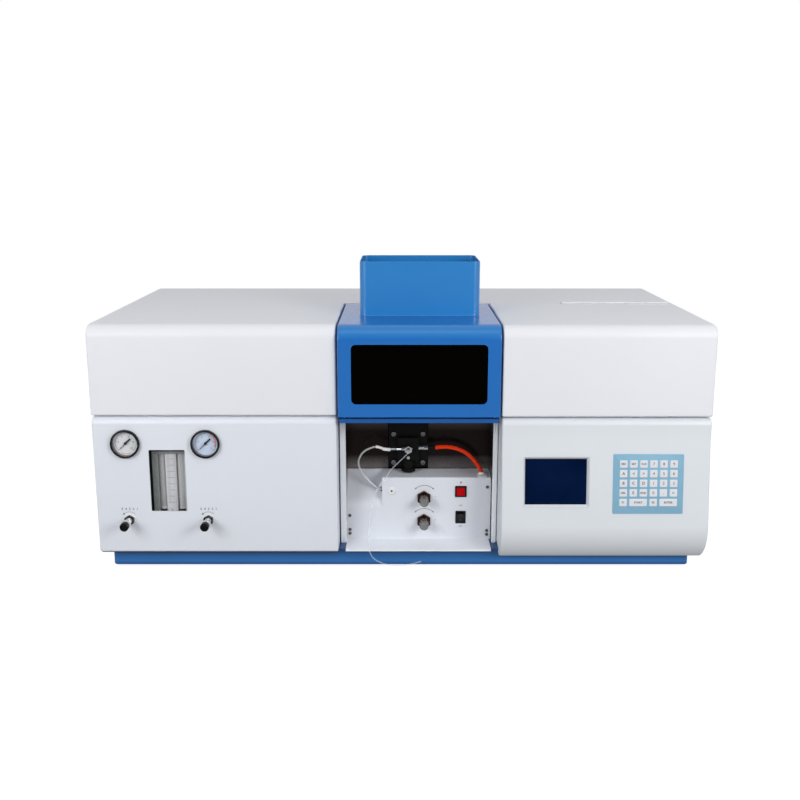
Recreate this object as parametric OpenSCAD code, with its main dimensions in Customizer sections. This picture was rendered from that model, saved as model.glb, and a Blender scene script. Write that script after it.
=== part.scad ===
// Atomic absorption spectrophotometer for a lab bench.
// Two lower housings stand on a plinth with the burner bay between them.
// A flame hood with a chimney tips up over the bay.
// Modelling frame: X to the right, Y from the front plane to the back, Z up from the table.

/* [Overall] */
// Width over the two housings
body_w = 1020; // [1010:1:1040]
// Depth from the front plane to the rear panel
body_d = 490; // [480:1:510]
// Height of the upper covers above the table
top_z = 421; // [416:1:426]
// Height of the seam between lower housings and upper covers
seam_z = 269; // [266:0.5:270]
// Thickness of the painted sheet
sheet = 1.5; // [1.2:0.1:1.8]

/* [Plinth] */
// Top of the plinth above the table
base_top = 32; // [30:0.5:34]
// Height of the rubber feet
foot_h = 3; // [2.5:0.5:4]
// How far the plinth stands back from the housing sides
base_inset = 17; // [12:1:22]

/* [Right housing] */
// How far the lower right front leans forward, in degrees
front_lean = 6.84; // [6:0.02:7]

/* [Hood] */
// Radius of the fold along the top front edge of the hood
hood_fold = 25; // [15:1:28]
// Width of the window
window_w = 222; // [200:1:226]
// Height of the window
window_h = 99; // [80:1:102]
// Height of the chimney above the hood
chimney_h = 93; // [60:1:140]
// Depth of the chimney
chimney_d = 122; // [100:1:122]

/* [Gas panel] */
// Outer diameter of the gauge bezels
gauge_d = 48; // [44:1:50]
// Diameter of the valve knobs
valve_knob_d = 14.4; // [12:0.2:17]

/* [Control box] */
// Diameter of the two adjusting knobs
adjust_knob_d = 15.4; // [12:0.2:18]
// Burner travel upwards
lift_travel = 14; // [8:1:15]

/* [Keypad] */
// Width of one key
key_w = 12.4; // [10:0.1:13.5]
// Height of one key
key_h = 12.3; // [10:0.1:13.5]

/* [Hidden] */
$fn = 48;
hw = body_w/2;
yb = body_d;
yl = 9;              // left front plane
ys = 245;            // middle of the depth, the frame's own origin
xl1 = -106;          // right side of the left housing
xr0 = 166;           // left side of the right housing
hx0 = -103;          // hood sides
hx1 = 163;
house_top = seam_z - 1.5;
cover_bot = seam_z + 1.5;
hinge_z = top_z + 1.2;
hood_hy = 260;       // hood hinge line
lid_hy = 259;        // lamp lid hinge line
beam_y = 170;        // optical axis
beam_z = 300;
gx = [-456, -323.5]; // gauges and valves
gz = 223;
vz = 90;
kx = 40;             // adjusting knobs
kz_top = 108.6;
kz_low = 66.2;
bx = 13;             // burner axis
pin_r = 8;           // pinion pitch radius
box_y = 65;          // control box front
tur_y = 122;         // turret axis
fx = [-404.4, -373.1];   // flowmeter tubes

// Routes of the three tubes, as hand-set points
hose_path = [[60.2,95,190],[72,95,191.3],[86,94,191],[100,92,188.2],[113.8,89.5,181.9],[124.3,87,173.6],[132.9,84,163.6],[138.9,81,153.6],[142,79.4,144.5],[142.8,78.7,134],[142.8,78.7,124]];
air_path = [[-8.3,83,191],[-20,83,191],[-32,83,192.5],[-44,83,195.2],[-58,83,190.5],[-67.5,82.5,183.2],[-73.4,82,171.5],[-73,81.7,160],[-66.5,81.2,147.5],[-56.5,80.7,135],[-46,80.2,125.3],[-37,80,119],[-26,80,117]];
cap_path = [[13,73.7,190],[12.5,67,189.5],[7,63,184],[-4,61,174],[-15,60,163],[-24,57,151],[-36,52,136],[-45,45,119],[-51,35,92],[-54,22,62],[-54,10,43],[-52,3,33],[-44,-1,23],[-27,-2,15],[-7,-3,12.5],[15,-3,15],[34,-3,20]];

// ---- general helpers ----
module shift() translate([0,-ys,0]) children();
module xex(x0,x1) translate([x0,0,0]) rotate([90,0,90]) linear_extrude(x1-x0) children();
module yex(y0,y1) translate([0,y1,0]) rotate([90,0,0]) linear_extrude(y1-y0) children();
module zex(z0,z1) translate([0,0,z0]) linear_extrude(z1-z0) children();
module ycyl(x,z,y0,y1,r) translate([x,y1,z]) rotate([90,0,0]) cylinder(h=y1-y0,r=r);
module xcyl(y,z,x0,x1,r) translate([x0,y,z]) rotate([0,90,0]) cylinder(h=x1-x0,r=r);
module zcyl(x,y,z0,z1,r) translate([x,y,z0]) cylinder(h=z1-z0,r=r);
module yhex(x,z,y0,y1,r) translate([x,y1,z]) rotate([90,0,0]) rotate([0,0,90]) cylinder(h=y1-y0,r=r,$fn=6);
module bx3(x0,x1,y0,y1,z0,z1) translate([x0,y0,z0]) cube([x1-x0,y1-y0,z1-z0]);
module sq(x0,x1,y0,y1) translate([x0,y0]) square([x1-x0,y1-y0]);
module rr(x0,x1,y0,y1,r) {
  sq(x0+r,x1-r,y0,y1);
  sq(x0,x1,y0+r,y1-r);
  for (x=[x0+r,x1-r], y=[y0+r,y1-r]) translate([x,y]) circle(r);
}
// waste outside a quarter arc: corner at (cx,cy), sx and sy point inwards
module nib(cx,cy,sx,sy,r) translate([cx,cy]) difference() {
  sq(min(-sx,sx*r),max(-sx,sx*r),min(-sy,sy*r),max(-sy,sy*r));
  translate([sx*r,sy*r]) circle(r);
}
// side view of a folded cover: front and rear top corners rounded
module side(y0,y1,z0,z1,rf,rb) difference() {
  sq(y0,y1,z0,z1);
  if (rf>0) nib(y0,z1,1,-1,rf);
  if (rb>0) nib(y1,z1,-1,-1,rb);
}
// plan view: corners rounded where the flags say so
module plan(x0,x1,y0,y1,r,front,back) difference() {
  sq(x0,x1,y0,y1);
  if (front) { nib(x0,y0,1,1,r); nib(x1,y0,-1,1,r); }
  if (back) { nib(x0,y1,1,-1,r); nib(x1,y1,-1,-1,r); }
}
module block(x0,x1,y0,y1,z0,z1,rf,rb,rv,front,back) intersection() {
  xex(x0,x1) side(y0,y1,z0,z1,rf,rb);
  zex(z0-1,z1+1) plan(x0,x1,y0,y1,rv,front,back);
}

// ---- tube sweep along a smoothed route ----
function cr(a,b,c,d,t) = 0.5*(2*b+(c-a)*t+(2*a-5*b+4*c-d)*t*t+(3*b-a-3*c+d)*t*t*t);
function at(P,s) = let(n=len(P)-1, i=min(floor(s),n-1), t=s-i)
  cr(i>0?P[i-1]:2*P[0]-P[1], P[i], P[i+1], i+2<=n?P[i+2]:2*P[n]-P[n-1], t);
function unit(v) = v/norm(v);
function dir(P,s) = let(n=len(P)-1) unit(at(P,min(n,s+0.02))-at(P,max(0,s-0.02)));
module tube(P,r,rings,ref,sides) {
  n = len(P)-1;
  pts = [for (k=[0:rings-1]) let(s=n*k/(rings-1), c=at(P,s), t=dir(P,s), u=unit(cross(t,ref)), w=cross(t,u))
    for (a=[0:sides-1]) c + r*(cos(360*a/sides)*u + sin(360*a/sides)*w)];
  faces = concat(
    [[for (a=[0:sides-1]) a]],
    [for (k=[0:rings-2], a=[0:sides-1]) let(b=(a+1)%sides) [k*sides+a, (k+1)*sides+a, (k+1)*sides+b, k*sides+b]],
    [[for (a=[sides-1:-1:0]) (rings-1)*sides+a]]);
  polyhedron(pts,faces,convexity=6);
}

// ---- plinth ----
module base_tray() color([0.15,0.33,0.58]) shift() difference() {
  zex(foot_h,base_top) rr(-hw+base_inset,hw-base_inset,23,yb-12,8);
  zex(foot_h+2,base_top-2) rr(-hw+base_inset+2,hw-base_inset-2,25,yb-14,6);
  zex(0,foot_h+3) rr(-hw+base_inset+60,hw-base_inset-60,90,yb-72,10);
}
module rubber_feet() color([0.08,0.08,0.08]) shift()
  for (x=[-462,0,462], y=[60,yb-42]) zcyl(x,y,0,foot_h,15);

// ---- lower housings ----
module left_housing() color([0.86,0.88,0.91]) shift() difference() {
  block(-hw,xl1,yl,yb-2,base_top,house_top,12,0,4,true,false);
  block(-hw+sheet,xl1-sheet,yl+sheet,yb,base_top+sheet,house_top-sheet,10.5,0,2.5,true,false);
  for (x=gx) { ycyl(x,gz,yl-1,yl+5,22); ycyl(x,vz,yl-1,yl+5,6); }
  yex(yl-1,yl+5) rr(-418.5,-358.5,105,212,2);
}
// side view of the lower right housing, inset by o: upright at the top, a leaning
// front below it and an arc that turns under, down to a lip in front of the plinth
lean_z = 228;
arc_y = 48;
arc_z = 78.9;
arc_r = arc_y*cos(front_lean)+(lean_z-arc_z)*sin(front_lean);
lip_z = 24;
lip_y = 22.5;
module right_side_view(o) {
  c = cos(front_lean);
  k = sin(front_lean);
  zt = arc_z+(arc_r-o)*k;
  side(o,yb-2+(o>0?5:0),zt-1,house_top-o,12-o,0);
  sq(arc_y-1,yb-2+(o>0?5:0),base_top+o,zt);
  polygon([[o,lean_z-o*tan(front_lean/2)],[arc_y-(arc_r-o)*c,zt],[arc_y,zt],[arc_y,lean_z-o*tan(front_lean/2)]]);
  // the arc stands 0.02 proud, so that it crosses the leaning line instead of touching it
  intersection() {
    translate([arc_y,arc_z]) circle(arc_r+0.02-o);
    union() { sq(-40,arc_y,base_top+o,zt+6); sq(-40,lip_y-o,lip_z+o,base_top+o+1); }
  }
}
module lean() translate([0,0,lean_z]) rotate([-front_lean,0,0]) translate([0,0,-lean_z]) children();
module right_housing() color([0.86,0.88,0.91]) shift() difference() {
  xex(xr0,hw) right_side_view(0);
  xex(xr0+sheet,hw-sheet) right_side_view(sheet);
  lean() yex(-2,6) rr(202,311,118,204,1.5);
  // well for the lamp turret
  bx3(190,490,40,250,house_top-5,house_top+5);
}

// ---- upper covers: a rebated lip makes the dark seam ----
module left_cover() color([0.88,0.89,0.92]) shift() difference() {
  union() {
    block(-hw,xl1,yl,yb,cover_bot,top_z,20,6,4,true,true);
    zex(house_top,cover_bot+1) rr(-hw+13,xl1-13,yl+13,yb-13,3);
  }
  block(-hw+sheet,xl1-sheet,yl+sheet,yb-sheet,cover_bot+sheet,top_z-sheet,18.5,4.5,2.5,true,true);
  zex(house_top-1,cover_bot+5) rr(-hw+16,xl1-16,yl+16,yb-16,2);
  xcyl(beam_y,beam_z,xl1-5,xl1+5,16);
}
module lamp_lid() color([0.88,0.89,0.92]) shift() {
  difference() {
    union() {
      block(xr0,hw,0,lid_hy-2.8,cover_bot,top_z,20,0,4,true,false);
      zex(house_top+0.5,cover_bot+1) plan(xr0+13,hw-13,13,lid_hy-2.8,3,true,false);
    }
    block(xr0+sheet,hw-sheet,sheet,lid_hy+5,cover_bot+sheet,top_z-sheet,18.5,0,2.5,true,false);
    zex(house_top-1,cover_bot+5) plan(xr0+16,hw-16,16,lid_hy+5,2,true,false);
    xcyl(beam_y,beam_z,xr0-5,xr0+5,16);
  }
  knuckles(300,500,lid_hy,-1,[0,2,4],1.05);
}
module right_rear_cover() color([0.88,0.89,0.92]) shift() difference() {
  union() {
    block(xr0,hw,lid_hy+2.8,yb,cover_bot,top_z,0,6,4,false,true);
    zex(house_top,cover_bot+1) plan(xr0+13,hw-13,lid_hy+2.8,yb-13,3,false,true);
  }
  block(xr0+sheet,hw-sheet,lid_hy-5,yb-sheet,cover_bot+sheet,top_z-sheet,0,4.5,2.5,false,true);
  zex(house_top-1,cover_bot+5) plan(xr0+16,hw-16,lid_hy-5,yb-16,2,false,true);
}
module centre_rear_cover() color([0.88,0.89,0.92]) shift() difference() {
  xex(xl1+1.5,xr0-1.5) side(hood_hy+4,yb,house_top,top_z,0,6);
  xex(xl1+1.5+sheet,xr0-1.5-sheet) side(hood_hy-5,yb-sheet,house_top-5,top_z-sheet,0,4.5);
  // side flanges stay short
  bx3(xl1-5,xr0+5,hood_hy-5,yb-40,house_top-5,top_z-25);
}
module rear_panel() color([0.80,0.82,0.85]) shift() difference() {
  yex(yb-2,yb) rr(-hw+3,hw-3,base_top,house_top,3);
  for (x=[-420,-360]) ycyl(x,120,yb-5,yb+5,6.1);
  yex(yb-5,yb+5) sq(416,444,69.5,90.5);
  for (i=[0:11]) yex(yb-5,yb+5) rr(260,340,130+i*8,133.4+i*8,1.6);
  for (i=[0:7]) yex(yb-5,yb+5) rr(-60,60,150+i*8,153.4+i*8,1.6);
}

// ---- hinges ----
module knuckles(x0,x1,yy,s,which,bore) {
  w = (x1-x0)/5;
  difference() {
    union() {
      bx3(x0,x1,min(yy+s*2.6,yy+s*13),max(yy+s*2.6,yy+s*13),top_z,top_z+0.8);
      for (i=which) {
        xcyl(yy,hinge_z,x0+i*w+0.4,x0+(i+1)*w-0.4,2.2);
        bx3(x0+i*w+0.4,x0+(i+1)*w-0.4,min(yy+s*1.2,yy+s*3),max(yy+s*1.2,yy+s*3),top_z,top_z+0.8);
      }
    }
    xcyl(yy,hinge_z,x0-1,x1+1,bore);
  }
}
module fixed_hinge_leaves() color([0.80,0.82,0.85]) shift() {
  knuckles(-60,125,hood_hy,1,[1,3],1.0);
  knuckles(300,500,lid_hy,1,[1,3],1.0);
}
module hinge_pins() color([0.75,0.75,0.76]) shift() {
  xcyl(hood_hy,hinge_z,-60,125,1);
  xcyl(lid_hy,hinge_z,300,500,1);
}

// ---- burner bay ----
module compartment_side_walls() color([0.16,0.14,0.13]) shift() {
  difference() { bx3(-95.5,-94,56.5,254,base_top,top_z-6); xcyl(beam_y,beam_z,-100,-90,14); }
  difference() { bx3(157,158.5,56.5,254,base_top,top_z-6); xcyl(beam_y,beam_z,150,165,14); }
}
// rear wall, and two splash plates close behind the control box with the burner between them
module compartment_back_wall() color([0.16,0.14,0.13]) shift() {
  bx3(-95.5,158.5,254,255.5,base_top,top_z-6);
  bx3(-94,-22.5,117.5,119,base_top,266);
  bx3(48.5,157,117.5,119,base_top,266);
}
module beam_windows() color([0.8,0.88,0.9,0.5]) shift() {
  xcyl(beam_y,beam_z,-98.5,-95.5,18);
  xcyl(beam_y,beam_z,158.5,160.5,18);
}
module side_trims() color([0.88,0.89,0.92]) shift() {
  zex(base_top,house_top-0.5) rr(-104,-94,48.5,56.5,1.5);
  zex(base_top,house_top-0.5) rr(157,165,48.5,56.5,1.5);
}
module hood_rail() color([0.16,0.42,0.70]) shift() {
  bx3(-101.5,161.5,2,12,260,house_top-0.5);
  bx3(-101.5,-96,12,48.5,260,house_top-0.5);
  bx3(158.5,161.5,12,48.5,260,house_top-0.5);
}

// ---- hood ----
module hood_shell() color([0.16,0.44,0.74]) shift() {
  difference() {
    block(hx0,hx1,0,hood_hy-3,cover_bot,top_z,hood_fold,0,3,true,false);
    block(hx0+sheet,hx1-sheet,sheet,hood_hy+5,cover_bot-5,top_z-sheet,hood_fold-sheet,0,1.5,true,false);
    yex(-1,5) rr(30-window_w/2,30+window_w/2,292,292+window_h,8);
    zex(top_z-5,top_z+5) rr(-66,131,114.5,104+chimney_d,10);
    // the sides are only narrow returns
    bx3(hx0-1,hx1+1,25,hood_hy+5,cover_bot-5,top_z-24);
  }
  knuckles(-60,125,hood_hy,-1,[0,2,4],1.05);
}
module hood_window() color([0.10,0.06,0.04,0.85]) shift()
  yex(sheet,sheet+3) rr(30-window_w/2-8,30+window_w/2+8,284,292+window_h+4,10);
module chimney() color([0.20,0.48,0.78]) shift() difference() {
  zex(top_z,top_z+chimney_h) rr(-70.5,135.5,110,110+chimney_d,12);
  zex(top_z-1,top_z+chimney_h+1) rr(-70.5+sheet,135.5-sheet,110+sheet,110+chimney_d-sheet,12-sheet);
}

// ---- control box ----
screws_at = [[150,128],[150,48],[150,41],[-89,76],[-89,50],[-89,43]];
module control_box() color([0.87,0.88,0.91]) shift() difference() {
  union() {
    xex(-32.5,156) side(box_y,115,base_top,145,3,0);
    xex(-94,-32.4) polygon([[box_y,base_top],[115,base_top],[115,145],[box_y,98]]);
    // apron in front, with a small turned-down lip
    bx3(-94,153.5,14,box_y+1,base_top,base_top+sheet);
    bx3(-94,153.5,14,14+sheet,base_top-1.2,base_top+sheet);
  }
  xex(-31,154.5) side(box_y+sheet,120,0,143.5,1.5,0);
  xex(-92.5,-30) polygon([[box_y+sheet,0],[120,0],[120,147.6],[box_y+sheet,97.3]]);
  for (z=[kz_top,kz_low]) ycyl(kx,z,box_y-3,box_y+3,6);
  ycyl(-16,121,box_y-3,box_y+3,4);
  yex(box_y-3,box_y+3) sq(104-8.9,104+8.9,120-8.9,120+8.9);
  yex(box_y-3,box_y+3) sq(104-8.1,104+8.1,73-10.6,73+10.6);
  zex(140,150) rr(135,149,68,89.5,6.5);
  xex(-36,-28) rr(71,89,113.5,120.5,3.4);
  for (s=screws_at) ycyl(s[0],s[1],box_y-3,box_y+3,1.6);
}
module panel_screws() color([0.55,0.56,0.58]) shift()
  for (s=screws_at) difference() {
    union() {
      ycyl(s[0],s[1],box_y-1.8,box_y,2.9);
      ycyl(s[0],s[1],box_y-0.1,box_y+5,1.5);
    }
    bx3(s[0]-2.2,s[0]+2.2,box_y-3,box_y-1,s[1]-0.35,s[1]+0.35);
    bx3(s[0]-0.35,s[0]+0.35,box_y-3,box_y-1,s[1]-2.2,s[1]+2.2);
  }
// white bush on the front and white oval grommet on the top
module panel_bushes() color([0.93,0.93,0.92]) shift() {
  difference() {
    union() { ycyl(-16,121,box_y-2.5,box_y,6.5); ycyl(-16,121,box_y-0.1,box_y+8,3.9); }
    ycyl(-16,121,box_y-5,box_y+10,1.8);
  }
  difference() {
    union() { zex(145,146.6) rr(133.5,150.5,66.2,91,7.4); zex(141,145.1) rr(135.1,148.9,68.1,89.4,6.4); }
    zex(135,150) rr(136.1,147.9,69.1,88.4,5.6);
  }
}
module knob_bushings() color([0.07,0.07,0.07]) shift()
  for (z=[kz_top,kz_low]) difference() {
    union() {
      yhex(kx,z,box_y-5,box_y,13);
      ycyl(kx,z,box_y-0.1,box_y+10,5.9);
      yhex(kx,z,box_y+sheet,box_y+sheet+5,11);
    }
    ycyl(kx,z,box_y-10,box_y+20,4.05);
  }
module knob_body(z,y1) {
  r = adjust_knob_d/2;
  difference() {
    union() {
      ycyl(kx,z,38.8,59.4,r);
      ycyl(kx,z,38,39,r-0.8);
      ycyl(kx,z,59,y1,4);
    }
    for (a=[0:15:345]) translate([kx,0,z]) rotate([0,a,0]) bx3(r-0.35,r+2,41,57,-0.45,0.45);
  }
}
// pinion with straight-flanked teeth, 16 of them, on the height shaft
module height_knob() color([0.66,0.67,0.69]) shift() {
  knob_body(kz_top,214);
  translate([kx,0,kz_top]) yex(155,195) union() {
    circle(6.8);
    for (i=[0:15]) rotate(i*22.5) polygon([[6,-1.05],[6.8,-0.92],[8,-0.58],[8.85,-0.28],[8.85,0.28],[8,0.58],[6.8,0.92],[6,1.05]]);
  }
}
module fore_aft_knob() color([0.66,0.67,0.69]) shift() knob_body(kz_low,214);
module switch_bezels() color([0.05,0.05,0.05]) shift() {
  difference() {
    union() { yex(box_y-2,box_y) rr(104-10,104+10,120-10,120+10,1.2); yex(box_y-0.1,box_y+22) sq(104-8.8,104+8.8,120-8.8,120+8.8); }
    yex(box_y-5,box_y+20) sq(104-7.3,104+7.3,120-7.3,120+7.3);
  }
  difference() {
    union() { yex(box_y-1.6,box_y) rr(104-8.9,104+8.9,73-11.4,73+11.4,1); yex(box_y-0.1,box_y+18) sq(104-8,104+8,73-10.5,73+10.5); }
    yex(box_y-5,box_y+16) sq(104-6.5,104+6.5,73-9,73+9);
    xcyl(box_y+5,73,104-7.6,104+7.6,1.55);
  }
}
module ignition_button() color([0.85,0.06,0.08]) shift() {
  yex(box_y-3.4,box_y+12) rr(104-7,104+7,120-7,120+7,0.8);
}
// rocker at rest with its lower half pressed in
module power_rocker() color([0.04,0.04,0.04]) shift() translate([104,box_y+5,73]) rotate([8,0,0]) {
  xex(-6.1,6.1) polygon([[-7.4,7.7],[-5.6,0],[-7.4,-7.7],[-4,-7.7],[3,-4],[3,4],[-4,7.7]]);
  xcyl(0,0,-7.5,7.5,1.5);
}

// ---- gas panel ----
module gauge_cases() color([0.10,0.10,0.11]) shift() for (x=gx) {
  difference() {
    union() {
      ycyl(x,gz,yl-7,yl,gauge_d/2);
      ycyl(x,gz,yl-0.1,yl+25,21.6);
      ycyl(x,gz,yl+24,yl+38,6);
    }
    ycyl(x,gz,yl-8,yl-3.6,gauge_d/2-2.6);
    ycyl(x,gz,yl-4,yl+3,gauge_d/2-3.6);
    ycyl(x,gz,yl+30,yl+40,2.5);
  }
  ycyl(x,gz,yl-0.5,yl+3.1,0.8);
}
module gauge_lenses() color([0.8,0.9,0.95,0.3]) shift() for (x=gx) ycyl(x,gz,yl-5.2,yl-3.6,gauge_d/2-2.7);
// pointer rests at the lower left end of its scale
module pointer(x) translate([x,0,gz]) rotate([0,-45,0]) difference() {
  union() {
    yex(yl+0.4,yl+1.2) polygon([[-15,-0.25],[-15,0.25],[0,0.8],[3,1.4],[11.5,1.4],[11.5,-1.4],[3,-1.4],[0,-0.8]]);
    ycyl(0,0,yl-1.2,yl+2,2.4);
  }
  ycyl(0,0,yl-0.8,yl+5,0.85);
}
module air_pointer() color([0.05,0.05,0.05]) shift() pointer(gx[0]);
module fuel_pointer() color([0.05,0.05,0.05]) shift() pointer(gx[1]);
module flowmeter_block() color([0.85,0.92,0.95,0.4]) shift() difference() {
  union() {
    bx3(-425,-361,31,51,88,226);
    for (z=[96.5,219]) ycyl(-393,z,yl+sheet,31.1,5);
  }
  for (x=fx) zcyl(x,41,103.6,230,5);
}
module float(x) {
  zcyl(x,41,106,112,4.3);
  translate([x,41,104]) cylinder(h=2.01,r1=2.2,r2=4.3);
  zcyl(x,41,111.9,114,1.4);
}
module air_float() color([0.05,0.05,0.05]) shift() float(fx[0]);
module fuel_float() color([0.05,0.05,0.05]) shift() float(fx[1]);
module valve_bodies() color([0.72,0.66,0.48]) shift() for (x=gx) difference() {
  union() {
    ycyl(x,vz,yl-1.2,yl,10);
    yhex(x,vz,yl-6,yl-1.1,9);
    ycyl(x,vz,yl-14,yl-5,5.4);
    ycyl(x,vz,yl-1,yl+4,5.9);
    bx3(x-11,x+11,yl+sheet,yl+38,vz-11,vz+11);
    zcyl(x,yl+26,vz+10,vz+26,4);
  }
  ycyl(x,vz,yl-20,yl+32,3.05);
}
module valve_knob(x) {
  r = valve_knob_d/2;
  difference() {
    union() {
      ycyl(x,vz,-26.6,-9,r);
      ycyl(x,vz,-28,-26,r-1.3);
      ycyl(x,vz,-10,-6.2,4.6);
      ycyl(x,vz,-7,yl+28,3);
    }
    for (a=[0:30:330]) translate([x,0,vz]) rotate([0,a,0]) ycyl(r+0.9,0,-27.5,-10.5,1.6);
  }
}
module air_valve_knob() color([0.78,0.79,0.80]) shift() valve_knob(gx[0]);
module fuel_valve_knob() color([0.78,0.79,0.80]) shift() valve_knob(gx[1]);

// ---- display and keypad ----
module display_frame() color([0.82,0.84,0.88]) shift() lean() difference() {
  union() {
    yex(0.4,2) rr(202.2,310.8,118.2,203.8,1.3);
    yex(sheet,5) rr(198,315,114,208,2);
  }
  yex(-1,6) sq(205.3,307.2,122.9,199.5);
}
module display_panel() color([0.06,0.09,0.25]) shift() lean() bx3(202,311,5,12,118,204);
kp_x0 = 360.7;
kp_z1 = 198.1;
kp_px = 16.56;
kp_pz = 16.1;
module keypad_membrane() color([0.47,0.71,0.83]) shift() lean() {
  yex(-0.8,0) rr(349.7,465.9,108.5,208.6,2);
  for (r=[0:3], c=[0:5]) key(c,r,1);
  key(0,4,1); key(1,4,2); key(3,4,1); key(4,4,2);
}
module key(c,r,n) yex(-1.3,-0.79)
  rr(kp_x0+c*kp_px, kp_x0+c*kp_px+(n-1)*kp_px+key_w, kp_z1-r*kp_pz-key_h, kp_z1-r*kp_pz, 1);

// ---- burner, lift and cross slide ----
module slide_rails() color([0.6,0.61,0.63]) shift() {
  difference() {
    union() {
      bx3(-40,102,122,128,base_top,60);
      bx3(-40,102,232,238,base_top,60);
    }
    for (x=[-25,87]) ycyl(x,48,115,245,5);
  }
  for (x=[-25,87]) ycyl(x,48,122,238,5);
  // rear bearing plate of the two knob shafts
  difference() {
    bx3(28,52,206,212,base_top,124);
    for (z=[kz_top,kz_low]) ycyl(kx,z,200,220,4.05);
  }
}
module slide_carriage() color([0.55,0.56,0.58]) shift() {
  difference() {
    union() {
      bx3(-40,102,152,198,39,60);
      bx3(27,53,165,185,59,80);
    }
    for (x=[-25,87]) ycyl(x,48,145,205,5.06);
    ycyl(kx,kz_low,145,205,4.06);
  }
  for (x=[-33,78]) zcyl(x,175,59.5,178,5);
}
module lift_platform() color([0.62,0.63,0.65]) shift() {
  difference() {
    bx3(-43,88,155,195,128,150);
    for (x=[-33,78]) zcyl(x,175,120,160,5.06);
  }
  // rack on the right of the pinion
  translate([kx+pin_r,0,kz_top]) yex(165,185) union() {
    sq(1.2,9,-8-lift_travel,129-kz_top);
    for (i=[-floor((8+lift_travel)/PI):4]) translate([0,(i+0.5)*PI]) polygon([[1.4,-1.02],[1.2,-0.96],[0,-0.58],[-0.85,-0.28],[-0.85,0.28],[0,0.58],[1.2,0.96],[1.4,1.02]]);
  }
}
module mixing_chamber() color([0.12,0.12,0.13]) shift() difference() {
  union() {
    ycyl(bx,188,106,210,28);
    bx3(bx-25,bx+25,155,195,150,188);
    zcyl(bx,beam_y,188,245,15);
    // drain elbow under the tail of the chamber
    zcyl(bx,206,140,188,6);
  }
  ycyl(bx,188,105,204,22);
  zcyl(bx,beam_y,190,250,11);
  zcyl(bx,206,135,186,3.5);
}
module burner_block() color([0.05,0.05,0.05]) shift() difference() {
  union() {
    yex(100,106) rr(bx-34,bx+34,153,234,3);
    yex(90,100.1) rr(bx-18,bx+18,168,209,2);
    // round drain cap below
    zcyl(bx,96,147.5,153,12.5);
    zcyl(bx,96,152.9,168.1,9);
    xcyl(95,190,47,59,5.2);
  }
  ycyl(bx,190,85,110,7);
  for (x=[-25.7,25.7], z=[162.5,214]) ycyl(bx+x,z,95,110,2.6);
  xcyl(95,190,28,48,4.2);
}
module block_screws() color([0.75,0.76,0.78]) shift()
  for (x=[-25.7,25.7], z=[162.5,214]) difference() {
    union() { ycyl(bx+x,z,96,100,4.4); ycyl(bx+x,z,99.9,106,2.5); }
    yhex(bx+x,z,95,98,2.3);
  }
module nebulizer() color([0.75,0.76,0.78]) shift() {
  difference() {
    union() {
      ycyl(bx,190,86,112,6.9);
      yhex(bx,190,80,86.1,8.2);
      ycyl(bx,190,74,80.1,3);
      xcyl(83,191,-8,bx-5,2.6);
    }
    ycyl(bx,190,70,74.9,1.3);
  }
  // fuel barb through the side of the block
  xcyl(95,190,bx+17,48,4.1);
}
module burner_head() color([0.58,0.58,0.58]) shift() difference() {
  union() {
    zcyl(bx,beam_y,245,258,20);
    xex(bx-60,bx+60) polygon([[beam_y-13,257.5],[beam_y+13,257.5],[beam_y+13,272],[beam_y+7,285],[beam_y-7,285],[beam_y-13,272]]);
  }
  bx3(bx-50,bx+50,beam_y-0.5,beam_y+0.5,262,290);
  zcyl(bx,beam_y,240,266,10);
}
module fuel_hose() color([0.90,0.20,0.05]) shift() tube(hose_path,3.5,16,[0,1,0],12);
module air_tube() color([0.88,0.88,0.86]) shift() tube(air_path,1.7,22,[0,1,0.2],8);
module sample_capillary() color([0.92,0.92,0.92]) shift() tube(cap_path,1.1,46,[1,1,-1],8);

// ---- lamps and optics ----
module lamp_turret() color([0.25,0.26,0.28]) shift() {
  difference() {
    union() {
      xcyl(tur_y,beam_z,236,242,68);
      xcyl(tur_y,beam_z,352,362,70);
      xcyl(tur_y,beam_z,242,352,12);
    }
    for (a=[0:90:270]) translate([0,tur_y,beam_z]) rotate([a,0,0]) {
      xcyl(48,0,230,250,19.4);
      xcyl(48,0,350,370,8.5);
    }
  }
  xcyl(tur_y,beam_z,361.9,420,6);
  xcyl(tur_y,beam_z,407,413,9);
}
module cathode_lamps() color([0.75,0.8,0.82,0.5]) shift()
  for (a=[0:90:270]) translate([0,tur_y,beam_z]) rotate([a,0,0]) {
    xcyl(48,0,212,338,19);
    xcyl(48,0,337.9,352,16);
    xcyl(48,0,351.9,372,8);
  }
module lamp_bracket() color([0.6,0.61,0.63]) shift() difference() {
  union() {
    bx3(390,400,82,162,base_top+sheet,330);
    bx3(376,440,82,162,base_top+sheet,base_top+sheet+5);
    xcyl(tur_y,beam_z,384,406,14);
  }
  xcyl(tur_y,beam_z,380,425,6.05);
}
module monochromator_case() color([0.20,0.21,0.23]) shift() difference() {
  union() {
    bx3(-490,-130,60,465,house_top,400);
    xcyl(beam_y,beam_z,-131,-112,18);
    bx3(-440,-360,464,480,300,380);
  }
  bx3(-485,-135,65,460,house_top+6,395);
  xcyl(beam_y,beam_z,-140,-105,12);
}
module power_supply() color([0.7,0.71,0.73]) shift() difference() {
  bx3(345,485,300,450,base_top+sheet,125);
  bx3(346.5,483.5,301.5,448.5,base_top+sheet+1.5,123.5);
  for (i=[0:9]) bx3(340,490,312+i*13,318+i*13,60,110);
}
module control_board() color([0.06,0.30,0.16]) shift() lean() {
  bx3(190,480,30,31.6,95,215);
  for (x=[194.5,474], z=[100,209]) ycyl(x,z,sheet,30.1,3);
  for (i=[0:3]) bx3(220+i*60,250+i*60,31.5,36,120,145);
  bx3(230,330,31.5,39,170,200);
}

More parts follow.
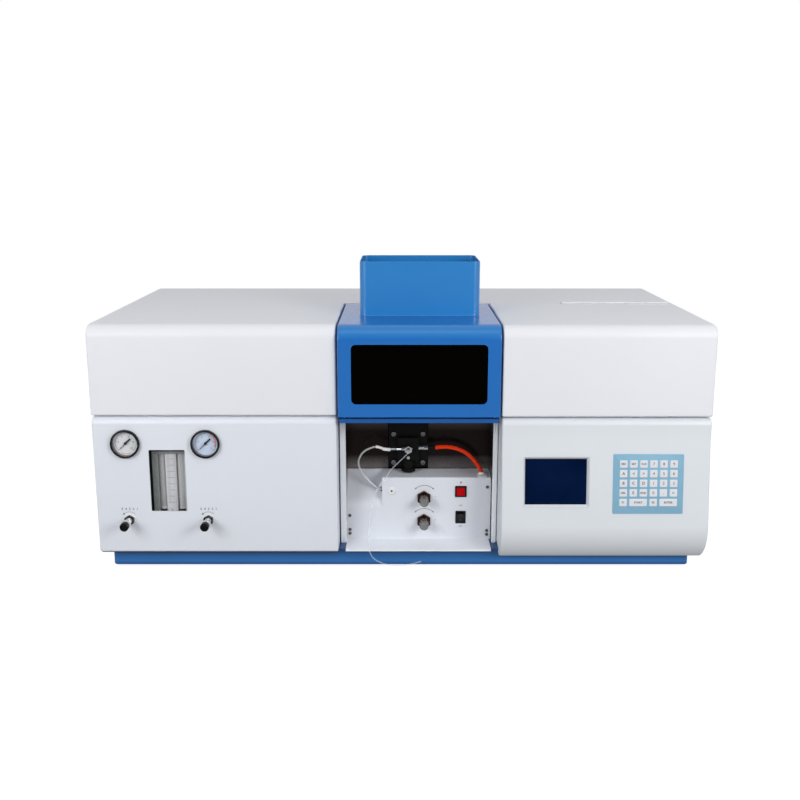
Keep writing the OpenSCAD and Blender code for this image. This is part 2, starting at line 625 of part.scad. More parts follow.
// ---- rear connections ----
module mains_inlet() color([0.06,0.06,0.06]) shift() {
  difference() {
    union() {
      yex(yb,yb+3) rr(430-25,430+25,80-15,80+15,3);
      yex(yb-24,yb+0.1) sq(430-13.8,430+13.8,80-10.3,80+10.3);
    }
    yex(yb-20,yb+5) sq(430-12,430+12,80-8.4,80+8.4);
  }
  for (p=[[-7,-2],[7,-2],[0,2]]) bx3(430+p[0]-1,430+p[0]+1,yb-20.1,yb-4,80+p[1]-2,80+p[1]+2);
}
module gas_inlets() color([0.78,0.70,0.45]) shift() for (x=[-420,-360]) difference() {
  union() {
    yhex(x,120,yb,yb+8,9);
    ycyl(x,120,yb+7.9,yb+28,4);
    ycyl(x,120,yb-12,yb+0.1,6);
    yhex(x,120,yb-7,yb-2,9);
  }
  ycyl(x,120,yb-20,yb+40,2.2);
}

base_tray();
rubber_feet();
left_housing();
right_housing();
left_cover();
right_rear_cover();
centre_rear_cover();
rear_panel();
compartment_side_walls();
compartment_back_wall();
side_trims();
hood_rail();
control_box();
panel_screws();
panel_bushes();
knob_bushings();
switch_bezels();
gauge_cases();
gauge_lenses();
flowmeter_block();
valve_bodies();
display_frame();
display_panel();
keypad_membrane();
monochromator_case();
lamp_bracket();
power_supply();
control_board();
mains_inlet();
gas_inlets();
beam_windows();
fixed_hinge_leaves();
hinge_pins();
slide_rails();
hood_shell();
hood_window();
chimney();
lamp_lid();
slide_carriage();
lift_platform();
mixing_chamber();
burner_block();
block_screws();
burner_head();
nebulizer();
fuel_hose();
air_tube();
sample_capillary();
air_valve_knob();
fuel_valve_knob();
height_knob();
fore_aft_knob();
ignition_button();
power_rocker();
air_pointer();
fuel_pointer();
air_float();
fuel_float();
lamp_turret();
cathode_lamps();
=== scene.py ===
import math
import bpy
import bmesh
from mathutils import Matrix, Vector


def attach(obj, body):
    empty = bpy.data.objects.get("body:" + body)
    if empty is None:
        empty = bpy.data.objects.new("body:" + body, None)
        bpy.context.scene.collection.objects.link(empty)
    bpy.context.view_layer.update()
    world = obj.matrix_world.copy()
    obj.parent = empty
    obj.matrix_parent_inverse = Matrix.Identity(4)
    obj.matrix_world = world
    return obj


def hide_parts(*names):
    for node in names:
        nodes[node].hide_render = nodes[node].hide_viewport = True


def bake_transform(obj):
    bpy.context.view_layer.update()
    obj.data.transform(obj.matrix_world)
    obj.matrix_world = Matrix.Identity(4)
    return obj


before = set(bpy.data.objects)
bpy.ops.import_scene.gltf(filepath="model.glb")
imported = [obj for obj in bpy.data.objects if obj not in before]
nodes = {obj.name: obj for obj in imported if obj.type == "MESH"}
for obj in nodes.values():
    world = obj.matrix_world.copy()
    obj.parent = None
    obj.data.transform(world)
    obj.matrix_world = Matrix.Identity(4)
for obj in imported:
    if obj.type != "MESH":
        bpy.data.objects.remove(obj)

scene = bpy.context.scene
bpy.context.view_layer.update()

# Lengths below are millimetres in the design frame: X right, Y back from the front plane, Z up from the table.
YS = 245.0
# light levels of the studio
KEY = 14.3
WORLD_FRONT, WORLD_BACK, WORLD_TOP, WORLD_FLOOR, WORLD_SIDE = 0.08, 0.78, 0.45, 0.42, 0.40
TO_M = Matrix.Diagonal((0.001, 0.001, 0.001, 1.0)) @ Matrix.Translation((0.0, -YS, 0.0))


def pm(x, y, z):
    return Vector((x / 1000.0, (y - YS) / 1000.0, z / 1000.0))


def lin(r, g, b):
    """Display colour from 0 to 255 as linear light."""
    f = lambda v: v / 12.92 if v <= 0.04045 else ((v + 0.055) / 1.055) ** 2.4
    return (f(r / 255.0), f(g / 255.0), f(b / 255.0))


# ------------------------------------------------------------------ materials
def shader(name):
    m = bpy.data.materials.new(name)
    m.use_nodes = True
    nt = m.node_tree
    nt.nodes.clear()
    out = nt.nodes.new("ShaderNodeOutputMaterial")
    b = nt.nodes.new("ShaderNodeBsdfPrincipled")
    nt.links.new(b.outputs[0], out.inputs[0])
    co = nt.nodes.new("ShaderNodeTexCoord")
    return m, nt, b, co.outputs["Object"]


def noise(nt, vec, scale, detail=3.0, rough=0.55, stretch=None):
    if stretch is not None:
        mp = nt.nodes.new("ShaderNodeMapping")
        mp.inputs["Scale"].default_value = stretch
        nt.links.new(vec, mp.inputs["Vector"])
        vec = mp.outputs["Vector"]
    n = nt.nodes.new("ShaderNodeTexNoise")
    n.inputs["Scale"].default_value = scale
    n.inputs["Detail"].default_value = detail
    n.inputs["Roughness"].default_value = rough
    nt.links.new(vec, n.inputs["Vector"])
    return n.outputs["Fac"]


def spread(nt, fac, lo, hi, a=0.3, b=0.7):
    r = nt.nodes.new("ShaderNodeMapRange")
    r.inputs["From Min"].default_value = a
    r.inputs["From Max"].default_value = b
    r.inputs["To Min"].default_value = lo
    r.inputs["To Max"].default_value = hi
    nt.links.new(fac, r.inputs["Value"])
    return r.outputs["Result"]


def two(nt, fac, ca, cb):
    x = nt.nodes.new("ShaderNodeMix")
    x.data_type = "RGBA"
    x.inputs["A"].default_value = (*ca, 1.0)
    x.inputs["B"].default_value = (*cb, 1.0)
    for s in x.inputs:
        if s.name == "A" and s.type == "RGBA":
            s.default_value = (*ca, 1.0)
        if s.name == "B" and s.type == "RGBA":
            s.default_value = (*cb, 1.0)
    nt.links.new(fac, x.inputs["Factor"])
    return [s for s in x.outputs if s.type == "RGBA"][0]


def bumped(nt, fac, strength, dist, prev=None):
    u = nt.nodes.new("ShaderNodeBump")
    u.inputs["Strength"].default_value = strength
    u.inputs["Distance"].default_value = dist
    nt.links.new(fac, u.inputs["Height"])
    if prev is not None:
        nt.links.new(prev, u.inputs["Normal"])
    return u.outputs["Normal"]


def finish_of(name, rgb, rough=0.4, metal=0.0, var=0.04, vscale=7.0, rvar=0.05, peel=0.12, pscale=650.0,
              pdist=0.00012, coat=0.0, coat_rough=0.06, spec=0.5, stretch=None, trans=0.0, ior=1.45, dust=0.0):
    """A painted, moulded or machined surface: slow colour drift, fine relief and uneven gloss."""
    m, nt, b, co = shader(name)
    c = Vector(rgb)
    slow = noise(nt, co, vscale, 4.0, 0.6, stretch)
    lo = tuple(max(0.0, v * (1 - var)) for v in c)
    hi = tuple(min(1.0, v * (1 + var)) for v in c)
    col = two(nt, spread(nt, slow, 0.0, 1.0), lo, hi)
    nt.links.new(col, b.inputs["Base Color"])
    fine = noise(nt, co, pscale, 2.0, 0.5, stretch)
    mid = noise(nt, co, pscale * 0.11, 3.0, 0.6, stretch)
    nt.links.new(spread(nt, mid, max(0.02, rough - rvar), min(1.0, rough + rvar)), b.inputs["Roughness"])
    if peel > 0:
        nt.links.new(bumped(nt, fine, peel, pdist), b.inputs["Normal"])
    b.inputs["Metallic"].default_value = metal
    b.inputs["Coat Weight"].default_value = coat
    b.inputs["Coat Roughness"].default_value = coat_rough
    b.inputs["Specular IOR Level"].default_value = spec
    b.inputs["Transmission Weight"].default_value = trans
    b.inputs["IOR"].default_value = ior
    return m


M = {}
M["cover"] = finish_of("paint_cover_white", lin(231, 232, 236), rough=0.50, var=0.012, vscale=4.0, peel=0.10, coat=0.06, coat_rough=0.3)
M["panel"] = finish_of("paint_panel_white", lin(228, 231, 238), rough=0.42, var=0.014, vscale=5.0, peel=0.10, coat=0.12, coat_rough=0.28)
# painted shade: the right housing wears a darker copy of the panel white, to tone down the light it catches
M["panel_right"] = finish_of("paint_panel_white_shaded", lin(222, 226, 230), rough=0.42, var=0.014, vscale=5.0, peel=0.10, coat=0.12, coat_rough=0.28)
M["hood"] = finish_of("paint_hood_blue", lin(22, 106, 186), rough=0.34, var=0.03, vscale=6.0, rvar=0.04, peel=0.03, coat=0.60, coat_rough=0.12, spec=0.4)
M["chimney"] = finish_of("paint_chimney_blue", lin(34, 128, 198), rough=0.34, var=0.03, vscale=6.0, rvar=0.04, peel=0.03, coat=0.95, coat_rough=0.30, spec=0.4)


def paler_bend(m, rgb):
    """Painted highlight over a bend: a paler tone where the sheet turns from the front to the top, standing in for the
    light the fold catches from above.
    """
    nt = m.node_tree
    b = [n for n in nt.nodes if n.type == "BSDF_PRINCIPLED"][0]
    sep = nt.nodes.new("ShaderNodeSeparateXYZ")
    co = nt.nodes.new("ShaderNodeTexCoord")
    nt.links.new(co.outputs["Normal"], sep.inputs[0])
    both = nt.nodes.new("ShaderNodeMath")
    both.operation = "MULTIPLY"
    nt.links.new(spread(nt, sep.outputs["Z"], 0.0, 1.0, 0.12, 0.55), both.inputs[0])
    nt.links.new(spread(nt, sep.outputs["Y"], 1.0, 0.0, -0.45, -0.08), both.inputs[1])
    src = b.inputs["Base Color"].links[0].from_socket
    x = nt.nodes.new("ShaderNodeMix")
    x.data_type = "RGBA"
    a, c = [s for s in x.inputs if s.type == "RGBA"]
    nt.links.new(src, a)
    c.default_value = (*rgb, 1.0)
    nt.links.new(both.outputs[0], x.inputs["Factor"])
    nt.links.new([s for s in x.outputs if s.type == "RGBA"][0], b.inputs["Base Color"])



def cleaner_edges(m, rgb):
    """Painted light on the dark sheet: a paler tone towards the floor of the bay and, less, under the rail, where light
    reaches in.
    """
    nt = m.node_tree
    b = [n for n in nt.nodes if n.type == "BSDF_PRINCIPLED"][0]
    sep = nt.nodes.new("ShaderNodeSeparateXYZ")
    co = nt.nodes.new("ShaderNodeTexCoord")
    nt.links.new(co.outputs["Object"], sep.inputs[0])
    low = spread(nt, sep.outputs["Z"], 1.0, 0.0, 0.134, 0.170)
    high = spread(nt, sep.outputs["Z"], 0.0, 0.20, 0.214, 0.232)
    both = nt.nodes.new("ShaderNodeMath")
    both.operation = "MAXIMUM"
    nt.links.new(low, both.inputs[0])
    nt.links.new(high, both.inputs[1])
    src = b.inputs["Base Color"].links[0].from_socket
    x = nt.nodes.new("ShaderNodeMix")
    x.data_type = "RGBA"
    a, c = [s for s in x.inputs if s.type == "RGBA"]
    nt.links.new(src, a)
    c.default_value = (*rgb, 1.0)
    nt.links.new(both.outputs[0], x.inputs["Factor"])
    nt.links.new([s for s in x.outputs if s.type == "RGBA"][0], b.inputs["Base Color"])


# painted highlight along the hood's front fold
paler_bend(M["hood"], lin(31, 121, 192))
# painted shade: the rail's blue is darker than the hood's, for the shadow of the hood over it
M["rail"] = finish_of("paint_rail_blue_shaded", lin(18, 86, 156), rough=0.36, var=0.03, vscale=6.0, rvar=0.04, peel=0.03, coat=0.3, coat_rough=0.1, spec=0.4)
M["hinge"] = finish_of("paint_hinge_white", lin(224, 225, 228), rough=0.45, var=0.02, vscale=30.0, peel=0.08)
M["plinth"] = finish_of("paint_plinth_blue", lin(42, 112, 182), rough=0.36, var=0.05, vscale=6.0, peel=0.05, coat=0.25, coat_rough=0.2)


def dusty_rim(m, stops, z0, z1):
    """Painted shade on the plinth: the colour is scaled by height, darker under the overhang of the housings and along
    the foot.
    """
    nt = m.node_tree
    b = [n for n in nt.nodes if n.type == "BSDF_PRINCIPLED"][0]
    sep = nt.nodes.new("ShaderNodeSeparateXYZ")
    co = nt.nodes.new("ShaderNodeTexCoord")
    nt.links.new(co.outputs["Object"], sep.inputs[0])
    ramp = nt.nodes.new("ShaderNodeValToRGB")
    el = ramp.color_ramp.elements
    for e, (t, g) in ((el[0], stops[0]), (el[1], stops[-1])):
        e.position = t
        e.color = (*g, 1.0)
    for t, g in stops[1:-1]:
        el.new(t).color = (*g, 1.0)
    nt.links.new(spread(nt, sep.outputs["Z"], 0.0, 1.0, z0, z1), ramp.inputs["Fac"])
    src = b.inputs["Base Color"].links[0].from_socket
    x = nt.nodes.new("ShaderNodeMix")
    x.data_type = "RGBA"
    x.blend_type = "MULTIPLY"
    x.inputs["Factor"].default_value = 1.0
    a, c = [s for s in x.inputs if s.type == "RGBA"]
    nt.links.new(src, a)
    nt.links.new(ramp.outputs["Color"], c)
    nt.links.new([s for s in x.outputs if s.type == "RGBA"][0], b.inputs["Base Color"])


# painted shade on the plinth: darker just under the housings' overhang and along the foot
dusty_rim(M["plinth"], [(0.0, (0.52, 0.55, 0.56)), (0.09, (0.55, 0.58, 0.60)), (0.24, (1.0, 1.0, 1.0)), (0.60, (0.72, 0.70, 0.68)), (0.96, (0.50, 0.43, 0.44))], 0.003, 0.032)
M["liner"] = finish_of("liner_dark_steel", lin(40, 30, 29), rough=0.26, metal=0.80, var=0.06, vscale=9.0, rvar=0.04, peel=0.035, pscale=240.0, stretch=(1.6, 1.0, 0.55))
# painted light: a paler copy of the white paint for the recessed side trims and apron, standing in for light that falls
# short inside the bay
M["bright"] = finish_of("paint_white_lit", lin(242, 245, 250), rough=0.42, var=0.014, vscale=5.0, peel=0.10, coat=0.12, coat_rough=0.28)
# painted light on the bay liner: paler towards the bay floor and just under the rail
cleaner_edges(M["liner"], lin(168, 160, 158))
M["gunmetal"] = finish_of("blackened_steel", lin(30, 28, 28), rough=0.55, metal=0.3, var=0.12, vscale=30.0, rvar=0.08, peel=0.12, pscale=600.0, spec=0.2)
M["rubber"] = finish_of("rubber_black", lin(30, 30, 31), rough=0.75, var=0.12, vscale=60.0, peel=0.3, pscale=1200.0)
M["block"] = finish_of("block_black", lin(11, 11, 11), rough=0.5, var=0.15, vscale=40.0, rvar=0.08, peel=0.16, pscale=1500.0, spec=0.18)
M["black"] = finish_of("plastic_black", lin(16, 16, 17), rough=0.36, var=0.12, vscale=40.0, rvar=0.08, peel=0.16, pscale=1500.0)
M["black_gloss"] = finish_of("plastic_black_gloss", lin(14, 14, 15), rough=0.16, var=0.10, vscale=40.0, rvar=0.05, peel=0.05, pscale=900.0, coat=0.3)
M["white_pl"] = finish_of("plastic_white", lin(240, 240, 237), rough=0.34, var=0.02, vscale=50.0, peel=0.08, pscale=1500.0)
M["cream"] = finish_of("plastic_cream", lin(240, 232, 226), rough=0.32, var=0.05, vscale=60.0, peel=0.08, pscale=1500.0)
M["red"] = finish_of("plastic_red", lin(194, 4, 12), rough=0.24, var=0.12, vscale=80.0, rvar=0.06, peel=0.05, pscale=1500.0, coat=0.0, spec=0.14)
M["chrome"] = finish_of("chrome_plate", lin(226, 227, 230), rough=0.07, metal=1.0, var=0.03, vscale=50.0, rvar=0.03, peel=0.03, pscale=900.0)
M["steel"] = finish_of("turned_steel", lin(190, 191, 194), rough=0.24, metal=1.0, var=0.06, vscale=50.0, rvar=0.08, peel=0.10, pscale=1400.0, stretch=(1.0, 1.0, 5.0))
M["cap_steel"] = finish_of("steel_cap_screw", lin(146, 146, 148), rough=0.16, metal=1.0, var=0.08, vscale=90.0, rvar=0.05, peel=0.06, pscale=1500.0)
M["dark_steel"] = finish_of("screw_steel", lin(120, 121, 124), rough=0.32, metal=0.9, var=0.10, vscale=120.0, rvar=0.08, peel=0.12, pscale=1800.0)
M["alu"] = finish_of("machined_alu", lin(178, 180, 184), rough=0.34, metal=0.95, var=0.05, vscale=30.0, rvar=0.08, peel=0.12, pscale=420.0, stretch=(8.0, 0.6, 0.6))
M["knob_side"] = finish_of("knob_knurled", lin(150, 146, 140), rough=0.26, metal=1.0, var=0.08, vscale=90.0, rvar=0.06, peel=0.14, pscale=1600.0)
M["knob_face"] = finish_of("knob_face_spun", lin(158, 159, 161), rough=0.46, metal=0.85, var=0.06, vscale=240.0, rvar=0.08, peel=0.22, pscale=2600.0)
M["brass"] = finish_of("brass_plain", lin(196, 164, 96), rough=0.28, metal=1.0, var=0.08, vscale=60.0, rvar=0.08, peel=0.10, pscale=1200.0)
M["frame"] = finish_of("display_surround", lin(222, 225, 231), rough=0.36, var=0.015, vscale=20.0, peel=0.08, pscale=1200.0)
M["board"] = finish_of("circuit_board", lin(20, 92, 56), rough=0.45, var=0.18, vscale=120.0, rvar=0.1, peel=0.2, pscale=600.0)
M["hose"] = finish_of("hose_orange_red", lin(238, 54, 9), rough=0.30, var=0.06, vscale=60.0, rvar=0.06, peel=0.06, pscale=900.0, spec=0.35)
M["ink"] = finish_of("print_grey", lin(86, 88, 96), rough=0.6, var=0.10, vscale=300.0, peel=0.05, pscale=2000.0)
M["ink_dark"] = finish_of("print_black", lin(34, 35, 40), rough=0.6, var=0.10, vscale=300.0, peel=0.05, pscale=2000.0)
M["ink_red"] = finish_of("print_red", lin(232, 142, 162), rough=0.6, var=0.06, vscale=300.0, peel=0.05, pscale=2000.0)
M["ink_pale"] = finish_of("print_pale_red", lin(226, 184, 190), rough=0.6, var=0.06, vscale=300.0, peel=0.05, pscale=2000.0)
M["dial_a"] = finish_of("dial_white", lin(229, 231, 232), rough=0.55, var=0.02, vscale=120.0, peel=0.05, pscale=2000.0)
M["dial_b"] = finish_of("dial_bluish", lin(207, 222, 243), rough=0.55, var=0.02, vscale=120.0, peel=0.05, pscale=2000.0)
M["bezel"] = finish_of("plastic_black_satin", lin(7, 7, 8), rough=0.30, var=0.10, vscale=40.0, rvar=0.06, peel=0.06, pscale=900.0, spec=0.22)
M["ink_tick"] = finish_of("print_pale_grey", lin(166, 164, 166), rough=0.6, var=0.06, vscale=300.0, peel=0.05, pscale=2000.0)
M["ring"] = finish_of("gauge_inner_ring", lin(132, 128, 128), rough=0.20, metal=1.0, var=0.06, vscale=80.0, rvar=0.05, peel=0.06, pscale=1500.0)
M["bronze"] = finish_of("bush_dark_bronze", lin(70, 50, 38), rough=0.26, metal=0.9, var=0.18, vscale=90.0, rvar=0.08, peel=0.10, pscale=1500.0)
M["ink_key"] = finish_of("print_key_legend", lin(146, 74, 80), rough=0.6, var=0.10, vscale=300.0, peel=0.05, pscale=2000.0)
M["print_white"] = finish_of("print_white", lin(190, 190, 192), rough=0.6, var=0.05, vscale=300.0, peel=0.05, pscale=2000.0)
M["backing"] = finish_of("flowmeter_backing", lin(214, 214, 218), rough=0.5, var=0.05, vscale=40.0, peel=0.05, pscale=1500.0)
M["scale"] = finish_of("flowmeter_scale", lin(226, 225, 228), rough=0.5, var=0.03, vscale=40.0, peel=0.05, pscale=1500.0)
# painted shade: darker grey for the flowmeter lands that lie in the shadow of the window edges
M["strip_dark"] = finish_of("flowmeter_shade_strip", lin(158, 163, 161), rough=0.4, var=0.12, vscale=50.0, peel=0.05, pscale=1500.0)
M["strip_mid"] = finish_of("flowmeter_mid_strip", lin(206, 207, 211), rough=0.4, var=0.08, vscale=50.0, peel=0.05, pscale=1500.0)
M["keypad"] = finish_of("membrane_blue", lin(134, 180, 205), rough=0.40, var=0.035, vscale=40.0, rvar=0.05, peel=0.12, pscale=2200.0)
M["key"] = finish_of("membrane_white_key", lin(225, 226, 229), rough=0.40, var=0.02, vscale=80.0, peel=0.12, pscale=2200.0)


def clear(name, rgb, rough=0.02, alpha=0.12, spec=0.5, haze=0.0, ior=1.49):
    """Clear or tinted plastic and glass as a see-through skin with faint streaks in its gloss."""
    m, nt, b, co = shader(name)
    slow = noise(nt, co, 60.0, 3.0)
    lo = tuple(v * 0.92 for v in rgb)
    nt.links.new(two(nt, slow, lo, rgb), b.inputs["Base Color"])
    streak = noise(nt, co, 90.0, 3.0, 0.6, (1.0, 1.0, 0.12))
    nt.links.new(spread(nt, streak, rough, rough + 0.05 + haze), b.inputs["Roughness"])
    b.inputs["Alpha"].default_value = alpha
    b.inputs["IOR"].default_value = ior
    b.inputs["Specular IOR Level"].default_value = spec
    return m


M["lens"] = clear("gauge_lens_glass", (0.90, 0.93, 0.95), 0.02, 0.025)
M["acrylic"] = clear("flowmeter_acrylic", (0.86, 0.89, 0.89), 0.03, 0.05, 0.3)
M["tube_wall"] = clear("flowmeter_tube", (0.84, 0.85, 0.85), 0.08, 0.42)
# painted light: the right tube is a paler, more opaque copy of the tube glass, standing in for light its shaded channel
# lacks
M["tube_clear"] = clear("flowmeter_tube_lit", (0.97, 0.97, 0.97), 0.08, 0.55)
M["window"] = clear("hood_window_smoked", (0.0010, 0.0007, 0.0005), 0.04, 0.97, 0.02)
M["lamp_glass"] = clear("lamp_glass", (0.85, 0.90, 0.92), 0.02, 0.14)
M["beam"] = clear("beam_window_glass", (0.80, 0.85, 0.88), 0.02, 0.30)

m, nt, b, co = shader("display_navy")
n = noise(nt, co, 14.0, 2.0)
nt.links.new(two(nt, spread(nt, n, 0, 1), lin(3, 18, 50), lin(5, 25, 62)), b.inputs["Base Color"])
cell = nt.nodes.new("ShaderNodeTexWave")
cell.inputs["Scale"].default_value = 620.0
nt.links.new(co, cell.inputs["Vector"])
nt.links.new(spread(nt, cell.outputs["Fac"], 0.16, 0.22, 0.0, 1.0), b.inputs["Roughness"])
b.inputs["Specular IOR Level"].default_value = 0.05
M["lcd"] = m
M["lcd_edge"] = finish_of("display_border", lin(6, 9, 22), rough=0.3, var=0.2, vscale=60.0, peel=0.0, spec=0.15)

M["milky"] = clear("tube_milky", (0.94, 0.96, 0.99), 0.14, 0.42, 0.5, 0.06)
M["hair"] = clear("capillary_milky", (0.90, 0.95, 1.0), 0.14, 0.18, 0.4, 0.06)


# ------------------------------------------------------------------ mesh tools
def rounded(pts, n=6):
    """Polygon of (u, v, radius) corners as a list of (u, v)."""
    out = []
    k = len(pts)
    for i, (u, v, r) in enumerate(pts):
        if r <= 0:
            out.append((u, v))
            continue
        p, a, c = Vector((u, v)), Vector(pts[i - 1][:2]), Vector(pts[(i + 1) % k][:2])
        d0, d1 = (a - p).normalized(), (c - p).normalized()
        ang = math.acos(max(-1.0, min(1.0, d0.dot(d1))))
        t = r / math.tan(ang / 2)
        s, e = p + d0 * t, p + d1 * t
        mid = p + (d0 + d1).normalized() * (r / math.sin(ang / 2))
        a0 = math.atan2(s.y - mid.y, s.x - mid.x)
        a1 = math.atan2(e.y - mid.y, e.x - mid.x)
        da = (a1 - a0 + math.pi) % (2 * math.pi) - math.pi
        for j in range(n + 1):
            q = a0 + da * j / n
            out.append((mid.x + r * math.cos(q), mid.y + r * math.sin(q)))
    return out


def rrect(u0, u1, v0, v1, r, n=6):
    if r <= 0:
        return [(u0, v0), (u1, v0), (u1, v1), (u0, v1)]
    return rounded([(u0, v0, r), (u1, v0, r), (u1, v1, r), (u0, v1, r)], n)


def circle(cu, cv, r, n=32, a0=0.0):
    return [(cu + r * math.cos(a0 + 2 * math.pi * i / n), cv + r * math.sin(a0 + 2 * math.pi * i / n)) for i in range(n)]


def put(axis, u, v, t):
    return (t, u, v) if axis == "x" else (u, t, v) if axis == "y" else (u, v, t)


def face(bm, vs, mi):
    try:
        f = bm.faces.new(vs)
    except ValueError:
        return None
    f.material_index = mi
    return f


def prism(bm, loop, axis, t0, t1, mi=0):
    a = [bm.verts.new(put(axis, u, v, t0)) for u, v in loop]
    c = [bm.verts.new(put(axis, u, v, t1)) for u, v in loop]
    n = len(loop)
    caps = [face(bm, a, mi), face(bm, c[::-1], mi)]
    sides = [face(bm, (a[i], c[i], c[(i + 1) % n], a[(i + 1) % n]), mi) for i in range(n)]
    made = caps + sides
    bmesh.ops.recalc_face_normals(bm, faces=made)
    return {"caps": caps, "sides": sides, "verts": a + c}


def rim(p, keep=None):
    """Edges round both ends of a prism."""
    es = {e for f in p["caps"] for e in f.edges}
    return [e for e in es if keep is None or keep(e)]


def bevel(bm, edges, w, seg=3):
    edges = list(edges)
    if edges:
        bmesh.ops.bevel(bm, geom=edges, offset=w, offset_type="OFFSET", segments=seg, profile=0.5, affect="EDGES", clamp_overlap=True, material=-1)


def rbox(bm, x0, x1, y0, y1, z0, z1, w=0.5, seg=2, mi=0):
    p = prism(bm, [(x0, y0), (x1, y0), (x1, y1), (x0, y1)], "z", z0, z1, mi)
    es = {e for f in p["caps"] + p["sides"] for e in f.edges}
    bevel(bm, es, w, seg)


def plate(bm, loop, axis, t0, t1, w=0.4, seg=2, mi=0):
    p = prism(bm, loop, axis, t0, t1, mi)
    bevel(bm, rim(p), w, seg)
    return p


def loft(bm, loops, mi=0, close=False, cap0=False, cap1=False):
    """Skin over loops of equal count; mi may be one number or one for each band."""
    rows = [[bm.verts.new(p) for p in lp] for lp in loops]
    n = len(rows[0])
    pairs = list(zip(rows, rows[1:])) + ([(rows[-1], rows[0])] if close else [])
    made = []
    for k, (a, c) in enumerate(pairs):
        q = mi if isinstance(mi, int) else mi[min(k, len(mi) - 1)]
        made += [face(bm, (a[i], a[(i + 1) % n], c[(i + 1) % n], c[i]), q) for i in range(n)]
    if cap0:
        made.append(face(bm, rows[0][::-1], mi if isinstance(mi, int) else mi[0]))
    if cap1:
        made.append(face(bm, rows[-1], mi if isinstance(mi, int) else mi[-1]))
    made = [f for f in made if f is not None]
    bmesh.ops.recalc_face_normals(bm, faces=made)
    return made


def lathe(bm, prof, axis, cu, cv, segs=48, mi=0, wave=None, a0=0.0):
    """Turned solid: prof lists (radius, place along the axis). wave(radius, place, angle) gives fluted radii."""
    rows = []
    for r, t in prof:
        if r < 1e-6:
            rows.append([bm.verts.new(put(axis, cu, cv, t))])
            continue
        ring = []
        for i in range(segs):
            q = a0 + 2 * math.pi * i / segs
            rr = wave(r, t, q) if wave else r
            ring.append(bm.verts.new(put(axis, cu + rr * math.cos(q), cv + rr * math.sin(q), t)))
        rows.append(ring)
    made = []
    for k, (a, c) in enumerate(zip(rows, rows[1:])):
        q = mi if isinstance(mi, int) else mi[min(k, len(mi) - 1)]
        for i in range(segs):
            j = (i + 1) % segs
            if len(a) == 1 and len(c) == 1:
                break
            if len(a) == 1:
                made.append(face(bm, (a[0], c[j], c[i]), q))
            elif len(c) == 1:
                made.append(face(bm, (a[i], a[j], c[0]), q))
            else:
                made.append(face(bm, (a[i], a[j], c[j], c[i]), q))
    made = [f for f in made if f is not None]
    bmesh.ops.recalc_face_normals(bm, faces=made)
    return made


def hexes(bm, axis, cu, cv, t0, t1, r, turn=30.0, w=0.5, mi=0, bore=0.0):
    """Hexagon nut or bush with chamfered ends."""
    lp = circle(cu, cv, r, 6, math.radians(turn))
    p = prism(bm, lp, axis, t0, t1, mi)
    es = {e for f in p["caps"] + p["sides"] for e in f.edges}
    bevel(bm, es, w, 2)


def frames(path):
    """Tangent and two side vectors along a path, turned as little as possible."""
    out = []
    t0 = (path[1] - path[0]).normalized()
    u = t0.cross(Vector((0.3, 1.0, 0.2))).normalized()
    for i, p in enumerate(path):
        t = (path[min(i + 1, len(path) - 1)] - path[max(i - 1, 0)]).normalized()
        u = (u - t * u.dot(t)).normalized()
        out.append((t, u, t.cross(u)))
    return out


def smooth_path(P, per):
    """Catmull-Rom through the points, with reflected ends."""
    P = [Vector(p) for p in P]
    n = len(P) - 1
    out = []
    for k in range(n * per + 1):
        s = k / per
        i = min(int(s), n - 1)
        t = s - i
        a = P[i - 1] if i > 0 else 2 * P[0] - P[1]
        b, c = P[i], P[i + 1]
        d = P[i + 2] if i + 2 <= n else 2 * P[n] - P[n - 1]
        out.append(0.5 * (2 * b + (c - a) * t + (2 * a - 5 * b + 4 * c - d) * t * t + (3 * b - a - 3 * c + d) * t * t * t))
    return out


def sweep(bm, path, r, sides=14, mi=0, cap=True):
    """Round tube along a path; r is one radius or a function of the place from 0 to 1."""
    fr = frames(path)
    rows = []
    for k, (p, (t, u, w)) in enumerate(zip(path, fr)):
        rr = r(k / (len(path) - 1)) if callable(r) else r
        rows.append([p + rr * (math.cos(2 * math.pi * i / sides) * u + math.sin(2 * math.pi * i / sides) * w) for i in range(sides)])
    loft(bm, [[tuple(v) for v in row] for row in rows], mi, cap0=cap, cap1=cap)


def bake(ob):
    """Make the modifiers' result the object's own mesh."""
    bpy.context.view_layer.update()
    dg = bpy.context.evaluated_depsgraph_get()
    me = bpy.data.meshes.new_from_object(ob.evaluated_get(dg), preserve_all_data_layers=True, depsgraph=dg)
    old = ob.data
    ob.modifiers.clear()
    ob.data = me
    bpy.data.meshes.remove(old)
    me.name = ob.name


def raw(name, bm, mats):
    bm.normal_update()
    bm.transform(TO_M)
    me = bpy.data.meshes.new(name)
    bm.to_mesh(me)
    bm.free()
    for mt in mats:
        me.materials.append(mt)
    ob = bpy.data.objects.new(name, me)
    scene.collection.objects.link(ob)
    return ob


def combine(ob, bm, op="DIFFERENCE"):
    other = raw("tool", bm, [])
    md = ob.modifiers.new("b", "BOOLEAN")
    md.operation = op
    md.solver = "EXACT"
    md.object = other
    bake(ob)
    bpy.data.objects.remove(other)


def shell(ob, t=1.5):
    md = ob.modifiers.new("s", "SOLIDIFY")
    md.thickness = t / 1000.0
    md.offset = -1.0
    md.use_even_offset = True
    md.use_quality_normals = True
    bake(ob)


def dress(ob, body, repl=(), angle=32.0, weighted=True):
    me = ob.data
    me.shade_smooth()
    me.set_sharp_from_angle(angle=math.radians(angle))
    if weighted:
        md = ob.modifiers.new("normals", "WEIGHTED_NORMAL")
        md.keep_sharp = True
        md.weight = 80
    if body:
        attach(ob, body)
    if repl:
        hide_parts(*repl)
    return ob


